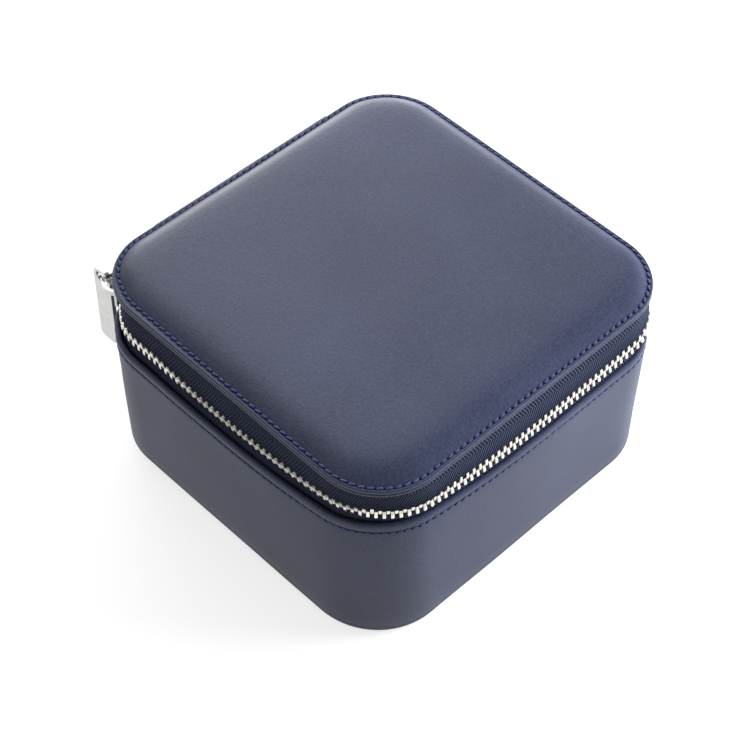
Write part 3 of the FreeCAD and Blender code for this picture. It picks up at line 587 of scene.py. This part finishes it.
def wall_profile():
    """The base's wall as (inset, height) pairs: up from its foot, over the rim and down the turned hem."""
    groove = RIM - BASE_STITCH_DROP
    hem = TAPE_FACE
    turns = [math.pi / 2 * step / 8 for step in range(9)]
    foot = [(FOOT_ROUND * (1 - math.sin(a)), FOOT_ROUND * (1 - math.cos(a))) for a in turns]
    seam = [(0.60, 0.92), (0.78, 1.0), (0.52, 1.07)]
    wall = foot[:5] + seam + foot[5:]
    start = FOOT_ROUND + 0.5
    wall += [(0.07, FOOT_ROUND + 0.25), (0.0, start)]
    wall += [(0.0, start + step * (groove - 1.6 - start) / 9) for step in range(1, 10)]
    wall += [(0.0, groove - 0.9), (0.08, groove - 0.35), (0.16, groove), (0.06, groove + 0.4)]
    wall += [(-0.06, groove + 0.9), (-0.08, RIM - 0.9), (0.0, RIM - 0.45), (0.2, RIM - 0.13), (0.55, RIM)]
    wall += [(1.0, RIM - 0.05), (hem - 0.2, RIM - 0.25)]
    return wall + [(hem - 0.02, RIM - 0.7), (hem - 0.02, HEM_FOOT + 0.2)]


def build_base():
    """Wall leather with its rolled rim and rounded foot, the underside, and the board in the walls."""
    skin = loft("base_leather", wall_profile(), NAVY, "base", wobble=WAVE)
    finish_piece(skin, "base", "case_leather", "base_wall_leather")
    sole = [(FOOT_ROUND - 0.1, 0.06), (FOOT_ROUND + 0.2, 0.0), (6, 0.0), (16, 0.0), (30, 0.0), (48, 0.0)]
    underside = loft("base_underside", sole, NAVY_EDGE, "base", caps=(False, True))
    finish_piece(underside, "base", "case_leather", "base_bottom_leather")
    wall_band("wall_board", "base_wall_board", BOARD_FACE + CLEAR, LINING_FACE, BOARD, "board")


# Sewing

def on_wall(point, outward, along, height, lift):
    """Place of a stitch on the base's wall."""
    point = point - outward * draw_in(point, outward, height)
    level = height + rim_rise(point, outward, height)
    point = point + outward * RIM_LEAN * (level - height)
    return placed(point + outward * lift, level, along, outward)


def on_margin(point, outward, along, height, lift):
    """Place of a stitch on the lid's level margin."""
    point = point - outward * margin_growth(point, outward)
    level = height + lift - droop(point[1])
    matrix = placed(point, level, along, (0, 0), up=(outward[0], outward[1], 0))
    matrix[2][1] = 1.0
    return matrix


def stitch_row(name, inset, height, body, lift, front, place, keep=lambda point: True):
    """A row of slanted stitches round the outline, with near-black beads of painted shade at the needle
    holes between them, each set by the place function.
    """
    total = outline(inset, front)[2][-1]
    count = round(total / STITCH_PITCH)
    slant = Matrix.Rotation(math.radians(STITCH_SLANT), 4, "Y")
    stitches, holes = [], []
    for index in range(count):
        spot = path_at((index + 0.5) * total / count, inset, front)
        if keep(spot[0]):
            stitches.append(place(*spot, height, lift) @ slant)
        spot = path_at(index * total / count, inset, front)
        if keep(spot[0]):
            holes.append(place(*spot, height, 0.0))
    stitch, hole = bead(STITCH_LENGTH, STITCH_WIDTH, STITCH_DEPTH), bead(HOLE_LENGTH, HOLE_WIDTH, HOLE_DEPTH)
    finish_piece(scatter(name, stitch, stitches, THREAD), body, "tape")
    finish_piece(scatter(name + "_hole_shades", hole, holes, HOLE_SHADE), body, "tape")


def build_stitches():
    """Thread on the base rim and on the lid margin."""
    def off_hinge(point):
        return not (abs(point[0]) < HINGE_HALF + 0.5 and point[1] > 0)

    drop = RIM - BASE_STITCH_DROP
    stitch_row("base_stitches", 0.06, drop, "base", -0.02, BASE_FRONT, on_wall, keep=off_hinge)
    stitch_row("lid_stitches", LID_STITCH_INSET, LID_MARGIN + 0.86, "lid", 0.2, CORNER, on_margin)


# Lid

def lid_profile():
    """The lid's skin as (inset, height) pairs: round its edge, down to the stitches, up over the padding."""
    edge, valley = LID_INSET, LID_STITCH_INSET
    low, flat = LID_MARGIN, LID_MARGIN + LID_LEATHER
    crest = LID_TOP - flat
    top = [(4.6, low + 0.05), (edge + 0.3, low + 0.02), (edge + 0.08, low + 0.14), (edge - 0.02, low + 0.4)]
    top += [(edge, flat - 0.26), (edge + 0.1, flat - 0.04)]
    top += [(edge + 0.3, flat + 0.06), (edge + 0.6, flat + 0.06)]
    top += [(valley - 0.5, flat - 0.01), (valley - 0.2, flat - 0.16), (valley + 0.15, flat - 0.16)]
    rise = [(0.45, 0.06), (0.85, 0.19), (1.4, 0.37), (2.1, 0.56)]
    rise += [(3.1, 0.74), (4.5, 0.87), (6.8, 0.955), (11, 1.0)]
    top += [(valley + out, flat + crest * up) for out, up in rise]
    return top + [(inset, LID_TOP) for inset in (FLAT_FIELD, 26, 33, 40, 46, 50)]


def welt_profile():
    """The under layer of the lid's edge, closed."""
    edge, low, foot = LID_INSET, LID_MARGIN, LID_FOOT
    under = [(5.0, low - 0.02), (edge + 0.35, low - 0.04), (edge + 0.08, low - 0.16)]
    under += [(edge - 0.04, low - 0.42), (edge, foot + 0.25), (edge + 0.2, foot + 0.04)]
    return under + [(edge + 0.6, foot), (TAPE_FACE, foot), (5.0, foot)]


def build_lid():
    """Padded lid leather over its welt, with the stitched margin sunk round the padding, and the foam."""
    skin = loft("lid_top", lid_profile(), NAVY_LID_SHADED, "lid_skin", wobble=WAVE, caps=(False, True),
                seed=LID_WAVE_SEED)
    finish_piece(skin, "lid", "case_leather", "lid_leather")
    welt = loft("lid_edge_welt", welt_profile(), NAVY_EDGE, "lid", wobble=WAVE, seed=LID_WAVE_SEED,
                closed=True)
    finish_piece(welt, "lid", "case_leather", "lid_welt")
    low, high = node_box("lid_padding")
    foam = plate("lid_foam", LID_WELL, low[2] + CLEAR, high[2] - 0.15, FOAM, "lid")
    finish_piece(foam, "lid", "padding", "lid_padding")


# Zip

def chain_shift(point, normal):
    """How the closed zip hangs, by place on the outline: outward shift and rise in mm, tilt in degrees."""
    front = max(0.0, -normal[1]) ** 2
    sides = max(0.0, 1 - normal[1] ** 2)
    loose = slack(point, normal)
    off_back = clamped((0.52 * HALF_Y - point[1]) / 18)
    out = front * (CHAIN_OUT + CHAIN_OUT_SLACK * loose)
    rise = -loose * (CHAIN_DROP_FRONT * front + CHAIN_DROP_SIDES * sides) * off_back
    off_corner = (point[0] - HALF_X) ** 2 + (point[1] + HALF_Y) ** 2
    far_corner = math.exp(-off_corner / FAR_CORNER_REACH ** 2)
    out, rise = out + FAR_CORNER_OUT * far_corner, rise + FAR_CORNER_RISE * far_corner
    turned = clamped((front - 0.15) / 0.45)
    return out, rise, TILT_FRONT * turned - TILT_SIDES * (1 - turned) * off_back


def build_tape(name, low, high, edge_at_top, body, node):
    """One tape: a woven ribbon round three sides that hangs with the chain, with a corded edge."""
    steps, thick, cord_width, cord_swell, tucked = 12, 0.6, 0.8, 0.16, 0.6
    heights = [low + (high - low) * step / steps for step in range(steps + 1)]
    ring = [(z, TAPE_FACE) for z in heights] + [(z, TAPE_FACE + thick) for z in reversed(heights)]
    points, normals, lengths = outline(0.0, BASE_FRONT)
    count = len(points)
    lead = round((HALF_X - CORNER - HINGE_HALF) / (2 * (HALF_X - CORNER) / SIDE_STEPS))
    keep = range(-lead, count - SIDE_STEPS + lead + 1)
    anchor, lip = (low, high) if edge_at_top else (high, low)
    verts, faces, uvs = [], [], []
    for c in keep:
        point, normal = points[c % count], normals[c % count]
        out, rise, _ = chain_shift(point, normal)
        for z, inset in ring:
            share = abs(z - anchor) / abs(lip - anchor)
            cord = cord_swell if abs(z - lip) < cord_width else 0.0
            sign = 1 if inset <= TAPE_FACE else -1
            sunk = tucked * (1 - share) ** 1.5
            push = out * share ** 1.4 + sign * cord - sunk - inset - draw_in(point, normal, z)
            verts.append((*(point + normal * push), z + rise * share))
    width = len(ring)
    middle = (low + high) / 2
    marks = [lengths[c % count] - (lengths[-1] if c < 0 else 0) for c in keep]
    for r in range(len(keep) - 1):
        for k in range(width):
            k2 = (k + 1) % width
            faces.append((r * width + k, (r + 1) * width + k, (r + 1) * width + k2, r * width + k2))
            v0, v1 = ring[k][0] - middle, ring[k2][0] - middle
            uvs += [(marks[r], v0), (marks[r + 1], v0), (marks[r + 1], v1), (marks[r], v1)]
    end = (len(keep) - 1) * width
    faces += [tuple(range(width)), tuple(end + k for k in reversed(range(width)))]
    uvs += [(0, 0)] * (2 * width)
    piece = finish_piece(new_object(name, verts, faces, TAPE, uvs), body, "tape", node)


def tooth(side):
    """One cast tooth: legs clamped round the tape and a head that reaches past the middle of the chain."""
    half, deep, neck = 0.43, 0.82, 0.64
    legs = [(deep - 0.1, side * 1.7), (deep, side * 1.45), (deep, side * 0.5)]
    profile = legs + [(neck, side * -0.1), (neck, side * -0.4)]
    ring = profile + [(-y, z) for y, z in reversed(profile)]
    bm = bmesh.new()
    left, right = ([bm.verts.new((x, y, z)) for y, z in ring] for x in (-half, half))
    bm.faces.new(left)
    bm.faces.new(list(reversed(right)))
    for i in range(len(ring)):
        j = (i + 1) % len(ring)
        bm.faces.new((left[i], right[i], right[j], left[j]))
    bmesh.ops.recalc_face_normals(bm, faces=bm.faces[:])
    bmesh.ops.bevel(bm, geom=bm.edges[:], offset=TOOTH_BEVEL, segments=2, profile=0.5, affect="EDGES")
    bm.verts.index_update()
    points = [tuple(v.co) for v in bm.verts]
    faces = [tuple(v.index for v in f.verts) for f in bm.faces]
    bm.free()
    return points, faces


def zip_run():
    """Inset of the zip's path, and where the closed chain begins behind the slider and ends, along it."""
    inset = (TAPE_FACE + TAPE_BACK) / 2
    low, high = node_box("slider_body")
    turn = math.atan2(CORNER - HALF_X - (low[0] + high[0]) / 2, (low[1] + high[1]) / 2 - HALF_Y + CORNER)
    total = outline(inset, BASE_FRONT)[2][-1]
    end = total - (HALF_X - CORNER) - HINGE_HALF - CHAIN_END
    return inset, (CORNER - inset) * turn + SLIDER_HALF + TOOTH_PITCH / 2, end


def build_teeth():
    """Both rows of teeth, placed half a pitch apart along the closed chain."""
    inset, start, end = zip_run()
    for name, side, shift, body in (("zip_row_upper", 1, 0.0, "lid"), ("zip_row_lower", -1, 0.5, "base")):
        places = []
        distance = start + shift * TOOTH_PITCH
        while distance < end:
            point, outward, along = path_at(distance, inset, BASE_FRONT)
            out, rise, tilt = chain_shift(point + outward * inset, outward)
            point = point + outward * (out - draw_in(point + outward * inset, outward, CHAIN))
            lean = Matrix.Rotation(math.radians(tilt), 4, "X")
            places.append(placed(point, CHAIN + rise, along, outward) @ lean)
            distance += TOOTH_PITCH
        node = "zip_teeth_upper" if side > 0 else "zip_teeth_lower"
        finish_piece(scatter(name, tooth(side), places, TEETH), body, "zip_metal", node)


def build_zip():
    """Both tapes and both rows of teeth."""
    build_tape("tape_lower", TAPE_LOW[0][2], TAPE_LOW[1][2], True, "base", "zip_tape_lower")
    build_tape("tape_upper", TAPE_HIGH[0][2], TAPE_HIGH[1][2], False, "lid", "zip_tape_upper")
    build_teeth()


# Hinge

def straight_row(name, height, depth, body):
    """A straight row of stitches across the hinge leather."""
    reach = HINGE_HALF - 2
    count = round(2 * reach / STITCH_PITCH)
    across = [-reach + (i + 0.5) * 2 * reach / count for i in range(count)]
    places = [placed((x, depth), height, (-1, 0), (0, 1)) for x in across]
    finish_piece(scatter(name, bead(STITCH_LENGTH, 0.5, 0.4), places, THREAD), body, "tape")


def build_hinge():
    """The leather strip over the back and the cloth gusset behind it."""
    face, lid_face = HALF_Y + 0.55, HALF_Y - LID_INSET + 0.3
    top = LID_MARGIN + 0.75
    heights = np.linspace(STRIP_FOOT, top, 40)
    tuck = np.clip((heights - LID_FOOT + 6) / 6, 0, 1) ** 2
    route = np.c_[face + (lid_face - face) * tuck, heights]
    strip = band("hinge_leather", route, HINGE_HALF, 0.7 - 0.45 * tuck, NAVY)
    finish_piece(strip, None, "case_leather", "hinge_strip_lower", "hinge_strip_upper")
    half = HINGE_HALF - 0.2
    cloth = [(HALF_Y - TAPE_FACE - CLEAR, z) for z in np.linspace(HEM_FOOT + 0.1, LID_FOOT - 0.1, 30)]
    gusset = band("hinge_gusset", cloth, half, 0.5, POCKET_CLOTH)
    finish_piece(gusset, None, "suede", "hinge_gusset_lower", "hinge_gusset_upper")
    for piece in (strip, gusset):
        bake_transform(piece)
    straight_row("strip_stitches", STRIP_FOOT + 1.8, face, "base")
    straight_row("strip_top_stitches", top - 1.9, lid_face, "lid")


# Inside

def cushion_section(half, tall):
    """Outline of a cushion across its length: a round top, straight sides and a softened foot."""
    arc = [math.pi * step / 14 for step in range(15)]
    section = [(half * math.cos(a), tall - half + half * math.sin(a)) for a in arc]
    section += [(-half, (tall - half) * share) for share in (0.75, 0.5, 0.25)]
    foot = [(half, 0.7), (half - 0.25, 0.12), (half - 0.8, 0.0)]
    section += [(-across, up) for across, up in foot] + foot[::-1]
    return section + [(half, (tall - half) * share) for share in (0.25, 0.5, 0.75)]


def cushion(name, node, material, end_round, seed):
    """A long padded bar with a round top and soft ends, in the box of its CAD node."""
    low, high = (np.array(c) for c in node_box(node))
    long_x = high[0] - low[0] > high[1] - low[1]
    length, width = ((high - low)[:2] if long_x else (high - low)[1::-1])
    tall = high[2] - low[2]
    half = width / 2
    section = cushion_section(half, tall)
    ends = [end_round * (1 - math.cos(math.pi / 2 * step / 6)) for step in range(7)]
    stations = ends + list(np.linspace(end_round, length - end_round, 40))[1:-1]
    stations += [length - s for s in reversed(ends)]
    verts = []
    for station in stations:
        inner = min(station, length - station, end_round)
        curve = math.sqrt(max(0.0, 1 - (1 - inner / end_round) ** 2))
        squeeze = end_round * (1 - curve)
        share_across = max(0.1, (half - min(squeeze, half * 0.8)) / half)
        for across, up in section:
            spot = Vector((station / 14, across / 9 + seed, up / 14))
            soft = 0.22 * noise.noise(spot) * min(1.0, up / 6)
            side = across * (share_across - 0.02) + soft * math.copysign(1, across) * 0.5
            rise = up * (tall - squeeze * up / tall) / tall + soft - 0.2 * up / tall
            if long_x:
                verts.append((low[0] + station, (low[1] + high[1]) / 2 + side, low[2] + rise))
            else:
                verts.append(((low[0] + high[0]) / 2 - side, low[1] + station, low[2] + rise))
    faces = tube_faces(len(stations), len(section))
    piece = finish_piece(new_object(name, verts, faces, material), "base", frame_slot(node), node)
    return piece


def frame_slot(node):
    """The record's material slot of a CAD node."""
    return next(part["material_slot"] for part in frame["record"]["subparts"] if part["node"] == node)


def build_inside():
    """Linings and facings of the base and lid, and the dividers and ring rolls of the base."""
    wall_band("wall_lining", "base_wall_lining", LINING_FACE + CLEAR, INNER_FACE, LINING, "suede")
    low, high = node_box("base_floor_lining")
    floor = plate("floor_lining", LINING_FACE + 0.1, low[2] + CLEAR, high[2], LINING, "base")
    finish_piece(floor, "base", "suede", "base_floor_lining")
    build_facing("rim_facing", "base_rim_facing", "base", 1)
    build_facing("lid_facing", "lid_rim_facing", "lid", -1)
    low, high = node_box("lid_lining")
    inner = plate("lid_inner_lining", LID_WELL, low[2], high[2], LINING, "lid")
    finish_piece(inner, "lid", "suede", "lid_lining")
    for number in range(1, 5):
        cushion(f"ring_cushion_{number}", f"ring_roll_{number}", ROLL_SUEDE, 2.5, 3.0 * number)
    cushion("long_partition", "long_divider", LINING, 0.6, 20.0)
    cushion("short_partition", "short_divider", LINING, 0.6, 30.0)


def build_facing(name, node, body, way):
    """The suede band inside the rim of the base or lid, its free edge rolled over."""
    low, high = node_box(node)
    free, sewn = (high[2], low[2]) if way > 0 else (low[2], high[2])
    outer, inner = TAPE_BACK + CLEAR, INNER_FACE
    middle, bend = (outer + inner) / 2, (inner - outer) / 2
    turns = [math.pi * step / 8 for step in range(9)]
    below = free - way * (bend + 0.4)
    band_profile = [(outer + 0.1, sewn), (outer, sewn + way * 0.1), (outer, below)]
    band_profile += [(middle - bend * math.cos(a), free - way * (bend - bend * math.sin(a))) for a in turns]
    band_profile += [(inner, below), (inner, sewn + way * 0.1), (inner - 0.1, sewn)]
    finish_piece(loft(name, band_profile, LINING, "zip", closed=True), body, "suede", node)


def build_pocket_cloth():
    """The gathered cloth of the pocket under the lid, in two layers joined round their rim."""
    low, high = node_box("lid_pocket")
    corner = CORNER - LID_WELL
    columns, rows, thick = 240, 26, 0.4
    half, tall, depth = high[0], high[1] - low[1], high[2] - low[2]
    verts, faces = [], []
    for layer in (0.0, thick):
        for r in range(rows + 1):
            y = low[1] + tall * r / rows
            into = max(0.0, y - (high[1] - corner))
            side = half - (corner - math.sqrt(max(0.0, corner ** 2 - into ** 2)))
            gather = (1 - r / rows) ** 0.8
            for c in range(columns + 1):
                x = -side + 2 * side * c / columns
                edge = min(1.0, (side - abs(x)) / 7, (high[1] - y) / 9)
                dome = math.sin(max(0.0, edge) * math.pi / 2) ** 0.7
                sway = 1.3 * noise.noise(Vector((x / 15, y / 25, 4.0)))
                fold = 0.5 + 0.5 * math.sin(2 * math.pi * (x + sway) / PLEAT)
                drop = dome * (0.42 * depth + 0.5 * depth * fold * (0.25 + 0.75 * gather))
                verts.append((x, y, high[2] - 0.1 - drop + layer * (1 if drop > 0.5 else drop / 0.5)))
    wide = columns + 1
    size = (rows + 1) * wide
    for r in range(rows):
        for c in range(columns):
            a = r * wide + c
            quad = (a, a + 1, a + wide + 1, a + wide)
            faces += [quad[::-1], tuple(size + i for i in quad)]
    rim = list(range(wide)) + [r * wide + columns for r in range(1, rows + 1)]
    rim += [rows * wide + c for c in reversed(range(columns))]
    rim += [r * wide for r in range(rows - 1, 0, -1)]
    faces += [(a, b, size + b, size + a) for a, b in zip(rim, rim[1:] + rim[:1])]
    cloth = new_object("lid_pocket_cloth", verts, faces, POCKET_CLOTH)
    return finish_piece(cloth, "lid", "suede", "lid_pocket")


def build_pocket_hem():
    """The ruched elastic hem along the pocket's mouth."""
    low, high = node_box("lid_pocket_elastic")
    stations, sides = 300, 14
    middle_y, middle_z = (low[1] + high[1]) / 2, (low[2] + high[2]) / 2
    verts = []
    for s in range(stations + 1):
        x = low[0] + (high[0] - low[0]) * s / stations
        waver = 1.5 * noise.noise(Vector((x / 9, 0, 8)))
        ruche = 0.86 + 0.12 * math.sin(2 * math.pi * x / (PLEAT / 2) + waver)
        for k in range(sides):
            turn = 2 * math.pi * k / sides
            verts.append((x, middle_y + (high[1] - low[1]) / 2 * ruche * math.cos(turn),
                          middle_z + (high[2] - low[2]) / 2 * ruche * math.sin(turn)))
    hem = new_object("pocket_hem", verts, tube_faces(stations + 1, sides), POCKET_CLOTH)
    return finish_piece(hem, "lid", "suede", "lid_pocket_elastic")


def build_pocket():
    """The pocket under the lid: its gathered cloth and its elastic hem."""
    pocket = build_pocket_cloth()
    hem = build_pocket_hem()


# Finish of the CAD pieces that stay

def dress(name, material, bevel=0.0):
    """Gives a CAD node its material and, where wanted, softened edges."""
    obj = frame["nodes"][name]
    obj.data.materials.clear()
    obj.data.materials.append(material)
    if bevel:
        modifier = obj.modifiers.new("soft_edges", "BEVEL")
        modifier.width = bevel * MM
        modifier.segments = 3
        modifier.limit_method = "ANGLE"
        modifier.angle_limit = math.radians(35)
        modifier.harden_normals = False


def dress_nodes():
    """Boards and metal pieces keep their CAD shape."""
    for name in ("base_floor_board", "lid_board"):
        dress(name, BOARD)
    for name in ("zip_stop_lower", "zip_stop_upper"):
        dress(name, TEETH, 0.15)
    for name in ("slider_body", "slider_crown", "pull_tab"):
        dress(name, NICKEL, 0.12)


# Studio

# Camera of the photograph: focal length in pixels, directions in degrees, distances in millimetres
FOCAL_PIXELS = 1958.5
FRAME_PIXELS = 750
AZIMUTH, ELEVATION, ROLL = -45.5, 49.42, 1.325
DISTANCE, SHIFT_RIGHT, SHIFT_UP = 535.2, -1.235, 14.42


def build_camera():
    """Camera at the photograph's place."""
    azimuth, elevation, roll = (math.radians(a) for a in (AZIMUTH, ELEVATION, ROLL))
    back = Vector((math.sin(azimuth) * math.cos(elevation), -math.cos(azimuth) * math.cos(elevation),
                   math.sin(elevation)))
    right = Vector((math.cos(azimuth), math.sin(azimuth), 0))
    up = back.cross(right)
    right, up = (right * math.cos(roll) + up * math.sin(roll), up * math.cos(roll) - right * math.sin(roll))
    data = bpy.data.cameras.new("camera")
    data.sensor_width = 36.0
    data.lens = 36.0 * FOCAL_PIXELS / FRAME_PIXELS
    data.clip_start = 0.01
    camera = bpy.data.objects.new("camera", data)
    place = (back * DISTANCE + right * SHIFT_RIGHT + up * SHIFT_UP) * MM
    turn = Matrix((right, up, back)).transposed().to_4x4()
    camera.matrix_world = Matrix.Translation(place) @ turn
    bpy.context.scene.collection.objects.link(camera)
    bpy.context.scene.camera = camera


# Lamps: place and target, size in metres, power in watts, and whether glossy surfaces mirror the lamp
LAMPS = (
    ("right_softbox", (0.41, -0.23, 0.19), (0, 0, 0.03), 0.5, 7.0, False),
    ("back_softbox", (0.24, 0.61, 0.58), (0, 0, 0.06), 0.9, 3.7, True),
    ("back_strip", (0.38, 0.70, 0.17), (0, 0, 0.06), 0.34, 1.9, True),
    ("side_strip", (0.66, 0.50, 0.17), (0, 0, 0.06), 0.34, 1.9, True),
    ("left_fill", (-0.55, 0.05, 0.42), (0, 0, 0.03), 0.5, 0.4, True),
)
SKY_LIGHT, FLOOR_GREY, FLOOR_WHITE = 0.27, 0.52, 0.72


def area_light(name, place, target, size, power, mirrored):
    """A round soft lamp aimed at a target."""
    data = bpy.data.lights.new(name, "AREA")
    data.shape = "DISK"
    data.size = size
    data.energy = power
    lamp = bpy.data.objects.new(name, data)
    lamp.location = place
    lamp.rotation_euler = (Vector(target) - Vector(place)).to_track_quat("-Z", "Y").to_euler()
    lamp.visible_glossy = mirrored
    bpy.context.scene.collection.objects.link(lamp)


def seen_white(tree, shader, strength):
    """Adds light that only the camera and mirror-like surfaces see."""
    path = tree.nodes.new("ShaderNodeLightPath")
    emit = tree.nodes.new("ShaderNodeEmission")
    emit.inputs["Color"].default_value = (1, 1, 1, 1)
    most = path.outputs["Is Camera Ray"]
    for ray in ("Is Glossy Ray", "Is Transmission Ray"):
        pick = tree.nodes.new("ShaderNodeMath")
        pick.operation = "MAXIMUM"
        tree.links.new(most, pick.inputs[0])
        tree.links.new(path.outputs[ray], pick.inputs[1])
        most = pick.outputs[0]
    scale = tree.nodes.new("ShaderNodeMath")
    scale.operation = "MULTIPLY"
    scale.inputs[1].default_value = strength
    tree.links.new(most, scale.inputs[0])
    tree.links.new(scale.outputs[0], emit.inputs["Strength"])
    both = tree.nodes.new("ShaderNodeAddShader")
    tree.links.new(shader, both.inputs[0])
    tree.links.new(emit.outputs[0], both.inputs[1])
    return both.outputs[0]


def build_studio():
    """White sweep under a grey sky, and the soft lamps."""
    scene = bpy.context.scene
    scene.view_settings.view_transform = "Standard"
    world = bpy.data.worlds.new("studio")
    world.use_nodes = True
    scene.world = world
    sky = world.node_tree.nodes["Background"]
    sky.inputs["Color"].default_value = (1, 1, 1, 1)
    sky.inputs["Strength"].default_value = SKY_LIGHT
    sweep = [(1.5, 0.0), (1.6, 0.0), (2.2, 0.08), (2.7, 0.3), (3.0, 0.7), (3.1, 1.3)]
    around = 48
    turns = [2 * math.pi * k / around for k in range(around)]
    verts = [(r * math.cos(a), r * math.sin(a), z) for r, z in sweep for a in turns]
    faces = [tuple(range(around))]
    for ring in range(len(sweep) - 1):
        for k in range(around):
            k2 = (k + 1) % around
            a, b = ring * around, (ring + 1) * around
            faces.append((a + k, b + k, b + k2, a + k2))
    n = Nodes("floor_white")
    n.base(Base_Color=(FLOOR_GREY, FLOOR_GREY, FLOOR_GREY, 1), Roughness=0.9, Specular_IOR_Level=0.0)
    lit = seen_white(n.tree, n.shader.outputs[0], FLOOR_WHITE)
    n.tree.links.new(lit, n.tree.nodes["Material Output"].inputs["Surface"])
    floor = new_object("floor", [tuple(c / MM for c in v) for v in verts], faces, n.material)
    floor.location.z = -0.0002
    for lamp in LAMPS:
        area_light(*lamp)


def main():
    build_base()
    build_lid()
    build_stitches()
    build_zip()
    build_hinge()
    build_inside()
    build_pocket()
    dress_nodes()
    build_camera()
    build_studio()
    bpy.context.view_layer.update()


main()
